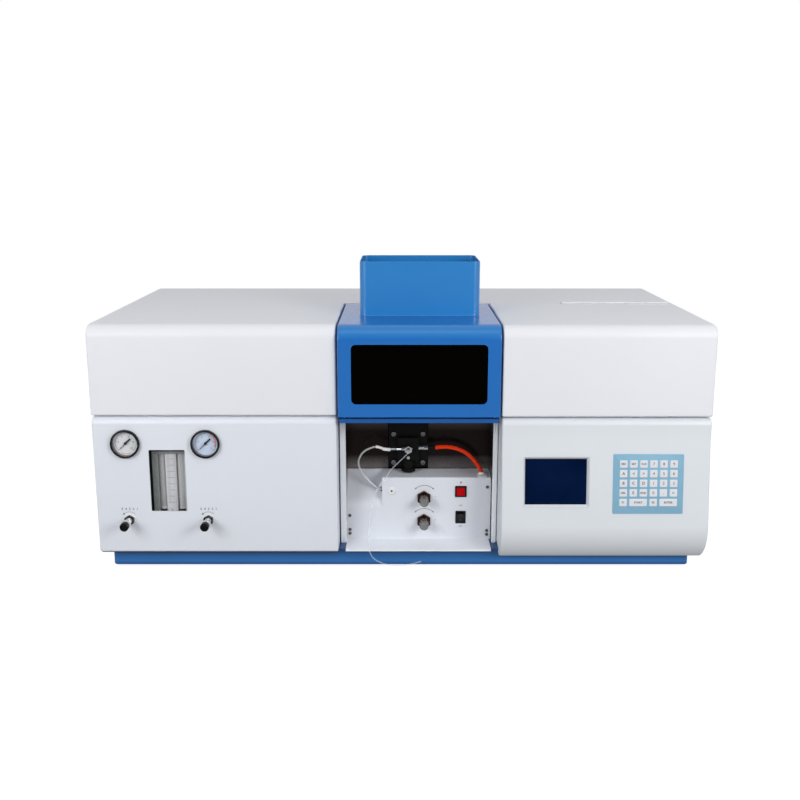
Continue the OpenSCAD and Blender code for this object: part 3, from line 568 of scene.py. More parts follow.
def piece(name, bm, body, mats, repl=(), angle=32.0, weighted=True):
    return dress(raw(name, bm, mats if isinstance(mats, (list, tuple)) else [mats]), body, repl, angle, weighted)


def drop(bm, test):
    bmesh.ops.delete(bm, geom=[f for f in bm.faces if all(test(v.co) for v in f.verts)], context="FACES")


def lettering(bm, body, size, x, y, z, mi=0, turn=0.0, bold=0.0):
    """Flat printed characters on a surface that faces the front."""
    cu = bpy.data.curves.new("t", "FONT")
    cu.body = body
    cu.size = size
    cu.offset = bold
    cu.align_x = "CENTER"
    cu.align_y = "CENTER"
    ob = bpy.data.objects.new("t", cu)
    scene.collection.objects.link(ob)
    bpy.context.view_layer.update()
    dg = bpy.context.evaluated_depsgraph_get()
    me = bpy.data.meshes.new_from_object(ob.evaluated_get(dg), depsgraph=dg)
    me.transform(Matrix.Translation((x, y, z)) @ Matrix.Rotation(math.radians(90), 4, "X") @ Matrix.Rotation(turn, 4, "Z"))
    had = set(bm.faces)
    bm.from_mesh(me)
    for f in bm.faces:
        if f not in had:
            f.material_index = mi
    bpy.data.objects.remove(ob)
    bpy.data.meshes.remove(me)
    bpy.data.curves.remove(cu)


def flat(bm, pts, y, mi=0):
    """Flat printed patch in the X-Z plane, facing the front."""
    vs = [bm.verts.new((u, y, v)) for u, v in pts]
    f = face(bm, vs, mi)
    if f is not None:
        f.normal_update()
        if f.normal.y > 0:
            f.normal_flip()


def arc_band(bm, cx, cz, r0, r1, a0, a1, y, mi=0, n=20):
    for i in range(n):
        p, q = math.radians(a0 + (a1 - a0) * i / n), math.radians(a0 + (a1 - a0) * (i + 1) / n)
        flat(bm, [(cx + r0 * math.cos(p), cz + r0 * math.sin(p)), (cx + r1 * math.cos(p), cz + r1 * math.sin(p)),
                  (cx + r1 * math.cos(q), cz + r1 * math.sin(q)), (cx + r0 * math.cos(q), cz + r0 * math.sin(q))], y, mi)


# ------------------------------------------------------------------ camera
cam = bpy.data.cameras.new("camera")
cam.sensor_width = 36.0
cam.lens = 929.1 * 36.0 / 800.0
cam.shift_x = -0.64 / 800.0
cam.shift_y = -37.3 / 800.0
cam.clip_start, cam.clip_end = 0.05, 60.0
cam_ob = bpy.data.objects.new("camera", cam)
scene.collection.objects.link(cam_ob)
cam_ob.location = pm(-0.42, -1468.2, 667.4)
cam_ob.rotation_euler = (math.pi / 2 - 0.2053, 0.0, 0.0)
scene.camera = cam_ob

# ------------------------------------------------------------------ tubes of the burner
HOSE = [(60.2, 95, 190), (72, 95, 191.3), (86, 94, 191), (100, 92, 188.2), (113.8, 89.5, 181.9), (124.3, 87, 173.6), (132.9, 84, 163.6), (138.9, 81, 153.6), (142, 79.4, 144.5), (142.8, 78.7, 134), (142.8, 78.7, 124)]
AIR = [(-8.3, 83, 191), (-20, 83, 191), (-32, 83, 192.5), (-44, 83, 195.2), (-58, 83, 190.5), (-67.5, 82.5, 183.2), (-73.4, 82, 171.5), (-73, 81.7, 160), (-66.5, 81.2, 147.5), (-56.5, 80.7, 135), (-46, 80.2, 125.3), (-37, 80, 119.6), (-26, 80, 117)]
CAP = [(13, 73.7, 190), (12.5, 67, 189.5), (7, 63, 184), (-4, 61, 174), (-15, 60, 163), (-24, 57, 151), (-36, 52, 136), (-45, 45, 119), (-51, 35, 92), (-54, 22, 62), (-54, 10, 43), (-52, 3, 33), (-44, -1, 23), (-27, -2, 15), (-7, -3, 12.5), (15, -3, 15), (34, -3, 20)]


def cord(name, pts, r, mat, node, sides, per):
    path = smooth_path(pts, per)
    bm = bmesh.new()
    sweep(bm, path, r, sides)
    ob = raw(name, bm, [mat])
    ob.data.shade_smooth()
    ob.data.set_sharp_from_angle(angle=math.radians(50))
    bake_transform(ob)
    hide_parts(node)
    return ob


cord("fuel_hose_tube", HOSE, 3.5, M["hose"], "fuel_hose", 24, 8)
cord("air_tube_clear", AIR, 1.7, M["milky"], "air_tube", 16, 8)
cord("capillary_tube", CAP, 1.1, M["hair"], "sample_capillary", 12, 8)

# ------------------------------------------------------------------ floor and light
floor_m, nt, b, co = shader("floor_pale")
n = noise(nt, co, 1.2, 3.0)
nt.links.new(two(nt, n, (0.33, 0.33, 0.335), (0.35, 0.35, 0.35)), b.inputs["Base Color"])
b.inputs["Roughness"].default_value = 0.9
b.inputs["Specular IOR Level"].default_value = 0.0
b.inputs["Emission Color"].default_value = (1.0, 1.0, 1.0, 1.0)
b.inputs["Emission Strength"].default_value = 0.84
me = bpy.data.meshes.new("floor")
me.from_pydata([(-14, -14, 0), (14, -14, 0), (14, 14, 0), (-14, 14, 0)], [], [(0, 1, 2, 3)])
me.materials.append(floor_m)
floor = bpy.data.objects.new("floor", me)
scene.collection.objects.link(floor)
# the floor's own glow stays out of the object's light: the world below the horizon stands for its bounce
floor.visible_diffuse = False
floor.visible_glossy = False
floor.visible_transmission = False
floor.visible_shadow = False

world = bpy.data.worlds.new("studio")
scene.world = world
world.use_nodes = True
nt = world.node_tree
nt.nodes.clear()
wout = nt.nodes.new("ShaderNodeOutputWorld")
co = nt.nodes.new("ShaderNodeTexCoord")
sep = nt.nodes.new("ShaderNodeSeparateXYZ")
nt.links.new(co.outputs["Generated"], sep.inputs[0])


def math_node(op, a, b):
    n = nt.nodes.new("ShaderNodeMath")
    n.operation = op
    for i, v in enumerate((a, b)):
        if isinstance(v, float):
            n.inputs[i].default_value = v
        else:
            nt.links.new(v, n.inputs[i])
    return n.outputs[0]


back = spread(nt, sep.outputs["Y"], WORLD_FRONT, WORLD_BACK, 0.20, 0.92)
ceiling = spread(nt, sep.outputs["Z"], 0.0, WORLD_TOP, 0.30, 0.95)
wings = spread(nt, math_node("ABSOLUTE", sep.outputs["X"], 0.0), 0.0, WORLD_SIDE, 0.62, 0.92)
below = spread(nt, sep.outputs["Z"], 1.0, 0.0, -0.30, -0.02)
bounce = math_node("MULTIPLY", below, WORLD_FLOOR)
keep = math_node("SUBTRACT", 1.0, below)
total = math_node("ADD", math_node("MULTIPLY", math_node("ADD", math_node("ADD", back, ceiling), wings), keep), bounce)
room = nt.nodes.new("ShaderNodeBackground")
room.inputs["Color"].default_value = (0.97, 0.98, 1.0, 1.0)
nt.links.new(total, room.inputs["Strength"])
white = nt.nodes.new("ShaderNodeBackground")
white.inputs["Color"].default_value = (1.0, 1.0, 1.0, 1.0)
white.inputs["Strength"].default_value = 1.0
path_n = nt.nodes.new("ShaderNodeLightPath")
mixw = nt.nodes.new("ShaderNodeMixShader")
nt.links.new(path_n.outputs["Is Camera Ray"], mixw.inputs[0])
nt.links.new(room.outputs[0], mixw.inputs[1])
nt.links.new(white.outputs[0], mixw.inputs[2])
nt.links.new(mixw.outputs[0], wout.inputs[0])


def softbox(name, loc, aim, w, h, power, tint=(1, 1, 1)):
    li = bpy.data.lights.new(name, "AREA")
    li.shape = "RECTANGLE"
    li.size, li.size_y = w, h
    li.energy = power
    li.color = tint
    ob = bpy.data.objects.new(name, li)
    scene.collection.objects.link(ob)
    ob.location = pm(*loc)
    ob.rotation_mode = "QUATERNION"
    ob.rotation_quaternion = (pm(*aim) - pm(*loc)).to_track_quat("-Z", "Y")


softbox("softbox_left", (-1050, -1250, 850), (-40, 120, 200), 0.80, 0.80, KEY * 0.92, (0.97, 0.985, 1.0))
softbox("softbox_right", (1120, -1230, 900), (60, 120, 200), 0.80, 0.80, KEY * 1.08, (0.985, 0.99, 1.0))
softbox("softbox_top", (0, -650, 1900), (0, 120, 380), 1.2, 0.6, KEY * 0.11, (0.985, 0.99, 1.0))

scene.view_settings.view_transform = "Standard"
scene.view_settings.look = "None"

# ------------------------------------------------------------------ plinth
bm = bmesh.new()
p = prism(bm, rrect(-493, 493, 23, 478, 8), "z", 3, 31.9)
bevel(bm, rim(p), 1.2, 3)
# a dark rubber strip under the housings: partly a gasket, partly painted shade for the shadow line where the housings
# meet the plinth
plate(bm, rrect(-508, -108, 11.5, 486, 3), "z", 30.9, 32.02, 0.2, 1, 1)
piece("plinth_body", bm, "chassis", [M["plinth"], M["rubber"]], ("base_tray",))
bm = bmesh.new()
for x in (-462, 0, 462):
    for y in (60, 448):
        lathe(bm, [(0, 3), (14.6, 3), (15, 2.6), (15, 0.9), (14.2, 0), (9, 0), (8, 0.5), (0, 0.5)], "z", x, y, 40)
piece("foot_pads", bm, "chassis", M["rubber"], ("rubber_feet",))

# ------------------------------------------------------------------ lower housings
bm = bmesh.new()
p = prism(bm, rounded([(9, 32, 3.6), (488, 32, 0), (488, 267.5, 0), (9, 267.5, 12)], 8), "x", -510, -106)
bevel(bm, rim(p, lambda e: not all(v.co.y > 487.9 for v in e.verts)), 2.6, 3)
drop(bm, lambda c: c.y > 487.9)
ob = raw("left_housing_shell", bm, [M["panel"]])
shell(ob)
bm = bmesh.new()
prism(bm, rrect(-418.5, -358.5, 105, 212, 2), "y", 0, 25)
for x in (-456, -323.5):
    prism(bm, circle(x, 223, 22, 48), "y", 0, 25)
    prism(bm, circle(x, 90, 6, 32), "y", 0, 25)
combine(ob, bm)
dress(ob, "chassis", ("left_housing",))

bm = bmesh.new()
LEAN = Matrix.Translation((0, 0, 228)) @ Matrix.Rotation(math.radians(-6.84), 4, "X") @ Matrix.Translation((0, 0, -228))
ARC_R = 48 * math.cos(math.radians(6.84)) + (228 - 78.9) * math.sin(math.radians(6.84))
a0 = 180 + math.degrees(math.asin((78.9 - 24) / ARC_R))
low = [(48 + ARC_R * math.cos(math.radians(a)), 78.9 + ARC_R * math.sin(math.radians(a))) for a in [a0 + (173.16 - a0) * i / 20 for i in range(21)]]
top = [(12 + 12 * math.cos(math.radians(a)), 255.5 + 12 * math.sin(math.radians(a))) for a in [180 - 90 * i / 8 for i in range(9)]]
p = prism(bm, low + [(0, 228)] + top + [(488, 267.5), (488, 32), (22.5, 32), (22.5, 24)], "x", 166, 510)
bevel(bm, rim(p, lambda e: not all(v.co.y > 487.9 for v in e.verts)), 3.0, 3)
drop(bm, lambda c: c.y > 487.9)
# the right housing takes the darker copy of the panel white: painted shade
ob = raw("right_housing_shell", bm, [M["panel_right"]])
shell(ob)
bm = bmesh.new()
prism(bm, rrect(202, 311, 118, 204, 1.5), "y", -5, 10)
bm.transform(LEAN)
prism(bm, [(190, 40), (490, 40), (490, 250), (190, 250)], "z", 260, 275)
combine(ob, bm)
dress(ob, "chassis", ("right_housing",))


# ------------------------------------------------------------------ upper covers
def lip(bm, x0, x1, y0, y1, z0, z1, w=3.0):
    outer, inner = rrect(x0, x1, y0, y1, 3.4), rrect(x0 + w, x1 - w, y0 + w, y1 - w, 0.6)
    loft(bm, [[(u, v, z0) for u, v in outer], [(u, v, z1) for u, v in outer], [(u, v, z1) for u, v in inner], [(u, v, z0) for u, v in inner]], close=True)


bm = bmesh.new()
p = prism(bm, rounded([(9, 270.5, 3.6), (490, 270.5, 3.6), (490, 421, 6), (9, 421, 20)], 10), "x", -510, -106)
bevel(bm, rim(p), 2.8, 3)
lip(bm, -497, -119, 22, 477, 267.5, 271.5)
piece("left_cover_shell", bm, "chassis", M["cover"], ("left_cover",))

bm = bmesh.new()
p = prism(bm, rounded([(0, 270.5, 3.6), (256.2, 270.5, 0), (256.2, 421, 0), (0, 421, 20)], 10), "x", 166, 510)
bevel(bm, rim(p, lambda e: not all(v.co.y > 256.1 for v in e.verts)), 2.8, 3)
drop(bm, lambda c: c.y > 256.1)
ob = raw("lamp_lid_shell", bm, [M["cover"]])
shell(ob)
bm = bmesh.new()
prism(bm, [(182, 16), (494, 16), (494, 262), (182, 262)], "z", 266, 274)
prism(bm, circle(170, 300, 16, 40), "x", 160, 172)
combine(ob, bm)
dress(ob, "lamp_lid", ("lamp_lid",))
bm = bmesh.new()
prism(bm, [(179, 13), (497, 13), (497, 256.2), (494, 256.2), (494, 16), (182, 16), (182, 256.2), (179, 256.2)], "z", 268, 271.2)
piece("lamp_lid_lip", bm, "lamp_lid", M["cover"], ())

bm = bmesh.new()
p = prism(bm, rounded([(261.8, 270.5, 0), (490, 270.5, 3.6), (490, 421, 6), (261.8, 421, 0)], 6), "x", 166, 510)
bevel(bm, rim(p, lambda e: not all(v.co.y < 261.9 for v in e.verts)), 2.8, 3)
drop(bm, lambda c: c.y < 261.9)
ob = raw("right_rear_cover_shell", bm, [M["cover"]])
shell(ob)
bm = bmesh.new()
prism(bm, [(179, 261.8), (182, 261.8), (182, 474), (494, 474), (494, 261.8), (497, 261.8), (497, 477), (179, 477)], "z", 267.5, 271.5)
combine(ob, bm, "UNION")
dress(ob, "chassis", ("right_rear_cover",))
bm = bmesh.new()
for x0, x1, z1 in ((168.9, 299.2, 420.96), (299.2, 500.8, 419.8), (500.8, 507.1, 420.96)):
    rbox(bm, x0, x1, 256.7, 262.6, z1 - 1.4, z1, 0.1, 1)
for x0, x1 in ((167.4, 169.0), (507.0, 508.6)):
    rbox(bm, x0, x1, 256.7, 262.6, 272.0, 419.4, 0.1, 1)
piece("right_cover_gap_strip", bm, "chassis", M["cover"], ())

bm = bmesh.new()
p = prism(bm, rounded([(264, 267.5, 0), (490, 267.5, 0), (490, 421, 6), (264, 421, 0)], 6), "x", -105.2, 165.2)
drop(bm, lambda c: c.y < 264.1)
drop(bm, lambda c: c.z < 267.6)
ob = raw("centre_rear_cover_shell", bm, [M["cover"]])
shell(ob)
bm = bmesh.new()
prism(bm, [(-112, 250), (172, 250), (172, 450), (-112, 450)], "z", 260, 396)
combine(ob, bm)
bm = bmesh.new()
for x0, x1 in ((-109.2, -104.6), (164.6, 169.2)):
    prism(bm, [(264, 418.2), (484.6, 418.2), (484.6, 421.02), (264, 421.02)], "x", x0, x1)
combine(ob, bm, "UNION")
dress(ob, "chassis", ("centre_rear_cover",))

# ------------------------------------------------------------------ hood and chimney
bm = bmesh.new()
p = prism(bm, rounded([(0, 270.5, 0), (257, 270.5, 0), (257, 421, 0), (0, 421, 25)], 14), "x", -103, 163)
bevel(bm, rim(p, lambda e: not all(v.co.y > 256.9 for v in e.verts) and not all(v.co.z < 270.6 for v in e.verts)), 2.6, 4)
drop(bm, lambda c: c.y > 256.9)
drop(bm, lambda c: c.z < 270.6)
ob = raw("hood_body", bm, [M["hood"]])
shell(ob)
bm = bmesh.new()
prism(bm, rrect(-81, 141, 292, 391, 8, 8), "y", -5, 10)
prism(bm, rrect(-66, 131, 114.5, 226, 10), "z", 410, 430)
prism(bm, [(-110, 25), (170, 25), (170, 265), (-110, 265)], "z", 262, 397)
combine(ob, bm)
dress(ob, "hood", ("hood_shell",))

bm = bmesh.new()
X0, X1, Y0, Y1, R = -70.5, 135.5, 110, 232, 12
prof = [(1.8, 421.05), (0.7, 421.3), (0.15, 421.9), (0, 422.8), (0, 512.7), (-0.15, 513.5), (-0.75, 514.0), (-1.35, 513.5), (-1.5, 512.7), (-1.5, 421.05)]
loft(bm, [[(u, v, z) for u, v in rrect(X0 - o, X1 + o, Y0 - o, Y1 + o, R + o, 10)] for o, z in prof], close=True)
piece("chimney_duct_body", bm, "hood", M["chimney"], ("chimney",))


def hinge(bm, x0, x1, yy, s, which):
    w = (x1 - x0) / 5.0
    y0, y1 = sorted((yy + s * 2.6, yy + s * 13))
    rbox(bm, x0, x1, y0, y1, 421.0, 421.8, 0.25, 2)
    for i in which:
        a, c = x0 + i * w + 0.4, x0 + (i + 1) * w - 0.4
        lathe(bm, [(1.06, a), (2.0, a), (2.2, a + 0.2), (2.2, c - 0.2), (2.0, c), (1.06, c)], "x", yy, 422.2, 20)
        y0, y1 = sorted((yy + s * 1.2, yy + s * 3))
        rbox(bm, a, c, y0, y1, 421.0, 421.8, 0.2, 1)


bm = bmesh.new()
hinge(bm, -60, 125, 260, -1, (0, 2, 4))
piece("hood_hinge_leaf", bm, "hood", M["hood"], ())
bm = bmesh.new()
hinge(bm, 300, 500, 259, -1, (0, 2, 4))
piece("lid_hinge_leaf", bm, "lamp_lid", M["hinge"], ())
bm = bmesh.new()
hinge(bm, -60, 125, 260, 1, (1, 3))
hinge(bm, 300, 500, 259, 1, (1, 3))
piece("rear_hinge_leaves", bm, "chassis", M["hinge"], ("fixed_hinge_leaves",))

bm = bmesh.new()
p = prism(bm, [(-101.5, 2), (161.5, 2), (161.5, 48.5), (158.5, 48.5), (158.5, 12), (-96, 12), (-96, 48.5), (-101.5, 48.5)], "z", 260, 267)
bevel(bm, rim(p), 0.7, 2)
piece("hood_rest_rail", bm, "chassis", M["rail"], ("hood_rail",))

# the side trims wear the paler copy of the white paint: painted light
bm = bmesh.new()
for x0, x1 in ((-104, -94), (157, 165)):
    p = prism(bm, rrect(x0, x1, 48.5, 56.5, 2.2, 5), "z", 32, 267)
    bevel(bm, rim(p), 0.6, 2)
piece("bay_side_trims", bm, "chassis", M["bright"], ("side_trims",))

# ------------------------------------------------------------------ control box
bm = bmesh.new()
p = prism(bm, rounded([(65, 32, 0), (115, 32, 0), (115, 145, 0), (65, 145, 3.2)], 6), "x", -32.5, 156)
bevel(bm, rim(p, lambda e: all(v.co.z > 32.1 and v.co.y < 114.9 for v in e.verts)), 1.0, 2)
ob = raw("control_box_case", bm, [M["panel"]])
bm = bmesh.new()
prism(bm, rounded([(65, 32, 0), (115, 32, 0), (115, 145, 0), (65, 98, 26)], 12), "x", -94, -20)
combine(ob, bm, "UNION")
bm = bmesh.new()
bm.from_mesh(ob.data)
drop(bm, lambda c: c.z < 0.03201)
drop(bm, lambda c: c.y > (114.9 - YS) / 1000)
bmesh.ops.recalc_face_normals(bm, faces=bm.faces)
bm.to_mesh(ob.data)
bm.free()
shell(ob)
bm = bmesh.new()
for z in (108.6, 66.2):
    prism(bm, circle(40, z, 6, 32), "y", 60, 70)
prism(bm, circle(-16, 121, 4, 32), "y", 60, 70)
prism(bm, rrect(95.1, 112.9, 111.1, 128.9, 0), "y", 60, 70)
prism(bm, rrect(95.9, 112.1, 62.4, 83.6, 0), "y", 60, 70)
prism(bm, rrect(135, 149, 68, 89.5, 6.5), "z", 140, 150)
prism(bm, rrect(71, 89, 113.5, 120.5, 3.4), "x", -36, -28)
combine(ob, bm)
dress(ob, "chassis", ("control_box",), 30.0)
# the apron wears the paler copy of the white paint: painted light
bm = bmesh.new()
p = prism(bm, rounded([(65.2, 32.02, 0), (65.2, 33.5, 0), (14, 33.5, 1.2), (14, 30.8, 0.5), (15.4, 30.8, 0.5), (15.4, 32.02, 0.5)], 4), "x", -94, 153.5)
bevel(bm, rim(p), 0.3, 2)
piece("control_box_apron", bm, "chassis", M["bright"], ())

# ------------------------------------------------------------------ gauges
GX, GZ, VZ = (-456.0, -323.5), 223.0, 90.0


def dial_angle(f):
    return math.radians(225.0 - 270.0 * f)


bm = bmesh.new()
for k, x in enumerate(GX):
    lathe(bm, [(20.4, 11.95), (20.4, 5.6), (20.6, 5.4), (21.4, 5.4), (21.4, 3.2), (21.55, 2.5), (22.0, 2.1), (22.7, 2.0), (23.4, 2.35), (23.85, 3.1), (24.0, 4.0),
               (24.0, 8.5), (23.7, 9.0), (21.6, 9.0), (21.6, 33.2), (20.8, 34.0), (6.4, 34.0), (6.0, 34.4), (6.0, 46.6), (5.6, 47.0), (0, 47.0)],
          "y", x, GZ, 72, [1, 1, 1, 0, 0, 0, 0, 0, 0, 0, 0, 0, 0, 2, 2, 2, 2, 2, 2, 2])
    lathe(bm, [(0, 11.9), (20.4, 11.9)], "y", x, GZ, 72, 3 + k)
    lathe(bm, [(0, 8.4), (0.6, 8.4), (0.8, 8.6), (0.8, 12)], "y", x, GZ, 16, 1)
    y = 11.84
    for i in range(51):
        a = dial_angle(i / 50.0)
        r0, w = (15.0, 0.26) if i % 10 == 0 else (15.9, 0.2) if i % 5 == 0 else (16.5, 0.13)
        c, s = math.cos(a), math.sin(a)
        flat(bm, [(x + r0 * c - w * s, GZ + r0 * s + w * c), (x + 17.6 * c - w * s, GZ + 17.6 * s + w * c), (x + 17.6 * c + w * s, GZ + 17.6 * s - w * c), (x + r0 * c + w * s, GZ + r0 * s - w * c)], y, 5)
    arc_band(bm, x, GZ, 17.55, 17.85, -45, 225, y, 5, 64)
    for i in range(6):
        a = dial_angle(i / 5.0)
        lettering(bm, str(i * (2 if k == 0 else 1)), 4.4, x + 12.4 * math.cos(a), y, GZ + 12.2 * math.sin(a), 5)
    if k == 1:
        arc_band(bm, x, GZ, 14.8, 17.8, -23, 62, 11.87, 6, 30)
    else:
        arc_band(bm, x, GZ, 17.4, 19.0, -118, -66, 11.87, 7, 16)
piece("gauge_cases_detail", bm, "chassis", [M["bezel"], M["ring"], M["dark_steel"], M["dial_a"], M["dial_b"], M["ink"], M["ink_red"], M["ink_pale"]], ("gauge_cases",), 28.0, False)
bm = bmesh.new()
for x in GX:
    lathe(bm, [(0, 3.8), (8, 3.83), (15, 3.95), (20.9, 4.15), (21.3, 4.4), (21.3, 5.2), (21.1, 5.4), (0, 5.4)], "y", x, GZ, 64)
piece("gauge_lens_domes", bm, "chassis", M["lens"], ("gauge_lenses",), 40.0, False)
for nm, x in (("air_pointer", GX[0]), ("fuel_pointer", GX[1])):
    bm = bmesh.new()
    q = math.sqrt(0.5)
    turn = lambda u, v: (x + q * u - q * v, GZ + q * u + q * v)
    plate(bm, [turn(u, v) for u, v in [(-15, -0.25), (0, -0.8), (3, -1.4), (10.6, -1.4), (11.5, -0.7), (11.5, 0.7), (10.6, 1.4), (3, 1.4), (0, 0.8), (-15, 0.25)]], "y", 9.4, 10.2, 0.15, 2)
    lathe(bm, [(0, 7.8), (1.7, 7.8), (2.2, 8.1), (2.4, 8.6), (2.4, 10.8), (0.85, 10.8)], "y", x, GZ, 32)
    piece(nm + "_needle", bm, nm, M["block"], (nm,), 30.0, False)

# ------------------------------------------------------------------ flowmeter
bm = bmesh.new()
rbox(bm, -425, -361, 31.0, 51.0, 88, 226, 0.7, 3, 0)
def comb(pts, mi):
    p = prism(bm, pts, "z", 89.0, 225.0, mi)
    bevel(bm, {e for f in p["sides"] for e in f.edges if abs(e.verts[0].co.z - e.verts[1].co.z) > 1}, 0.35, 2)


# painted shade: the block's left land is darker grey, for the shadow of the window's left edge
comb([(-424.2, 50.4), (-424.2, 33.0), (-410.8, 33.0), (-410.8, 50.4)], 2)
comb([(-410.85, 50.4), (-410.85, 47.6), (-398.0, 47.6), (-398.0, 50.4)], 3)
comb([(-398.05, 50.4), (-398.05, 33.0), (-379.5, 33.0), (-379.5, 50.4)], 3)
comb([(-379.55, 50.4), (-379.55, 47.6), (-366.7, 47.6), (-366.7, 50.4)], 3)
# painted shade: a slightly darker strip, for the shadow of the window's right edge
comb([(-366.75, 50.4), (-366.75, 33.0), (-361.8, 33.0), (-361.8, 50.4)], 4)
# painted shadow: a black bar and a darker band under the top of the window
rbox(bm, -424.0, -362.0, 32.2, 33.05, 202.4, 208, 0.2, 1, 7)
rbox(bm, -424.0, -362.0, 32.4, 33.05, 197.6, 202.4, 0.2, 1, 2)
# painted shade: a black strip at the block's left side, where the window's left wall lies in shadow
rbox(bm, -424.9, -419.6, 30.3, 31.0, 88.4, 225.6, 0.2, 1, 7)
for i in range(46):
    z = 112.0 + 2.2 * i
    major = i % 5 == 0
    h, x1 = (0.45, -384.6) if major else (0.24, -390.2)
    flat(bm, [(-395.4, z - h), (x1, z - h), (x1, z + h), (-395.4, z + h)], 32.94, 9)
for i in range(10):
    lettering(bm, str(i), 3.2, -382.2, 32.94, 112.0 + 11.0 * i, 9)
for x in (-404.4, -373.1):
    # the right tube takes the paler copy of the tube glass: painted light
    lathe(bm, [(5.0, 100.0), (5.0, 225.5), (6.2, 225.5), (6.2, 100.0)], "z", x, 41, 32, 6 if x < -390 else 8)
    lathe(bm, [(0, 103.0), (5.0, 103.0), (5.0, 103.6), (5.9, 103.6), (6.3, 103.0), (6.3, 99.4), (5.7, 99.0), (5.7, 95.6), (6.3, 95.2), (6.3, 93.0), (0, 93.0)], "z", x, 41, 40, [4, 4, 4, 4, 4, 7, 7, 7, 7, 7])
for z in (96.5, 219.0):
    lathe(bm, [(0, 10.5), (4.6, 10.5), (5.0, 10.9), (5.0, 31.1), (0, 31.1)], "y", -393, z, 32, 1)
piece("flowmeter_body", bm, "chassis", [M["acrylic"], M["backing"], M["strip_dark"], M["scale"], M["strip_mid"], M["ink"], M["tube_wall"], M["black"], M["tube_clear"], M["ink_tick"]], ("flowmeter_block",), 32.0, False)
for nm, x in (("air_float", -404.4), ("fuel_float", -373.1)):
    bm = bmesh.new()
    lathe(bm, [(0, 104), (1.9, 104), (2.4, 104.3), (4.1, 105.9), (4.3, 106.3), (4.3, 107.4), (4.0, 107.8), (4.0, 108.6), (4.3, 109.0), (4.3, 111.6), (4.0, 112.0), (1.4, 112.0), (1.4, 113.6), (1.0, 114), (0, 114)], "z", x, 41, 40)
    piece(nm + "_bob", bm, nm, M["black"], (nm,), 34.0, False)

# ------------------------------------------------------------------ needle valves
bm = bmesh.new()
for x in GX:
    lathe(bm, [(3.1, 7.8), (9.6, 7.8), (10.0, 8.1), (10.0, 9.0), (5.9, 9.0), (5.9, 13), (3.1, 13)], "y", x, VZ, 48, 2)
    hexes(bm, "y", x, VZ, 3.0, 8.0, 9.0, 90.0, 0.55, 3)
    prof = [(3.1, -5.0), (4.9, -5.0)]
    for i in range(8):
        prof += [(5.4, -4.5 + i), (5.0, -4.0 + i)]
    lathe(bm, prof + [(5.4, 3.6), (5.4, 4.0)], "y", x, VZ, 36, 0)
    rbox(bm, x - 11, x + 11, 10.6, 47, VZ - 11, VZ + 11, 0.8, 2, 1)
    lathe(bm, [(0, VZ + 10.5), (4, VZ + 10.5), (4, VZ + 25.4), (3.6, VZ + 26), (0, VZ + 26)], "z", x, 35, 28, 1)
piece("valve_collars", bm, "chassis", [M["chrome"], M["brass"], M["white_pl"], M["black_gloss"]], ("valve_bodies",), 30.0)


def scallop(x):
    def wave(r, t, q):
        if r > 7.0 and -25.9 < t < -10.4:
            return r - 0.75 * max(0.0, math.cos(12 * q)) ** 1.5
        return r
    return wave


# the front end of each grip is black satin, standing in for the dark room mirrored in chrome: painted reflection
for nm, x in (("air_valve_knob", GX[0]), ("fuel_valve_knob", GX[1])):
    bm = bmesh.new()
    lathe(bm, [(0, -27.5), (3.6, -27.5), (4.3, -27.9), (5.9, -28.0), (6.7, -27.5), (7.15, -26.7), (7.2, -26.1), (7.2, -25.6), (7.2, -18.0), (7.2, -10.8), (7.2, -10.2), (7.0, -9.4), (6.4, -9.0),
               (4.6, -9.0), (4.6, -6.7), (4.2, -6.2), (3.0, -6.2), (3.0, 36.6), (2.6, 37.0), (0, 37.0)], "y", x, VZ, 144, [1] * 8 + [0] * 12, scallop(x))
    piece(nm + "_grip", bm, nm, [M["chrome"], M["bezel"]], (nm,), 34.0, False)

bm = bmesh.new()
y = 8.94
for x in GX:
    arc_band(bm, x, VZ, 13.6, 14.1, 48, 128, y, 0, 24)
    a = math.radians(128)
    c, s = math.cos(a), math.sin(a)
    flat(bm, [(x + 11.8 * c, VZ + 11.8 * s), (x + 15.9 * c, VZ + 15.9 * s), (x + 13.9 * c - 3.8 * s, VZ + 13.9 * s + 3.8 * c)], y, 0)
    for i in range(5):
        lettering(bm, str(5 - i), 5.4, x - 11.8 + 6.3 * i, y, VZ + 19.0, 0, 0.0, 0.10)
piece("valve_marks", bm, "chassis", [M["ink"]], (), 30.0, False)

# ------------------------------------------------------------------ display and keypad
bm = bmesh.new()


def ring_loop(x0, x1, z0, z1, r, o, y):
    return [(u, y, v) for u, v in rrect(x0 - o, x1 + o, z0 - o, z1 + o, r, 5)]


OUT, INN = (202.2, 310.8, 118.2, 203.8), (205.3, 307.2, 122.9, 199.5)
loft(bm, [ring_loop(*OUT, 1.3, 0, 2.2), ring_loop(*OUT, 1.3, 0, 0.7), ring_loop(*OUT, 1.0, -0.3, 0.4),
          ring_loop(*OUT, 0.8, -0.9, 0.4), ring_loop(*INN, 0.7, 0.2, 4.4), ring_loop(*INN, 0.6, 0, 4.98)])
loft(bm, [ring_loop(198, 315, 114, 208, 2.0, 0, 1.52), ring_loop(198, 315, 114, 208, 2.0, 0, 4.98), ring_loop(*INN, 0.6, 0.3, 4.98), ring_loop(*OUT, 1.3, 0.1, 1.52)], close=True)
bm.transform(LEAN)
piece("display_bezel", bm, "chassis", M["frame"], ("display_frame",), 24.0, False)
bm = bmesh.new()
rbox(bm, 202, 311, 5.0, 12.0, 118, 204, 0.3, 1, 0)
flat(bm, rrect(206.6, 306.0, 124.4, 198.0, 0.4, 3), 4.95, 1)
bm.transform(LEAN)
piece("display_glass", bm, "chassis", [M["lcd_edge"], M["lcd"]], ("display_panel",), 30.0, False)

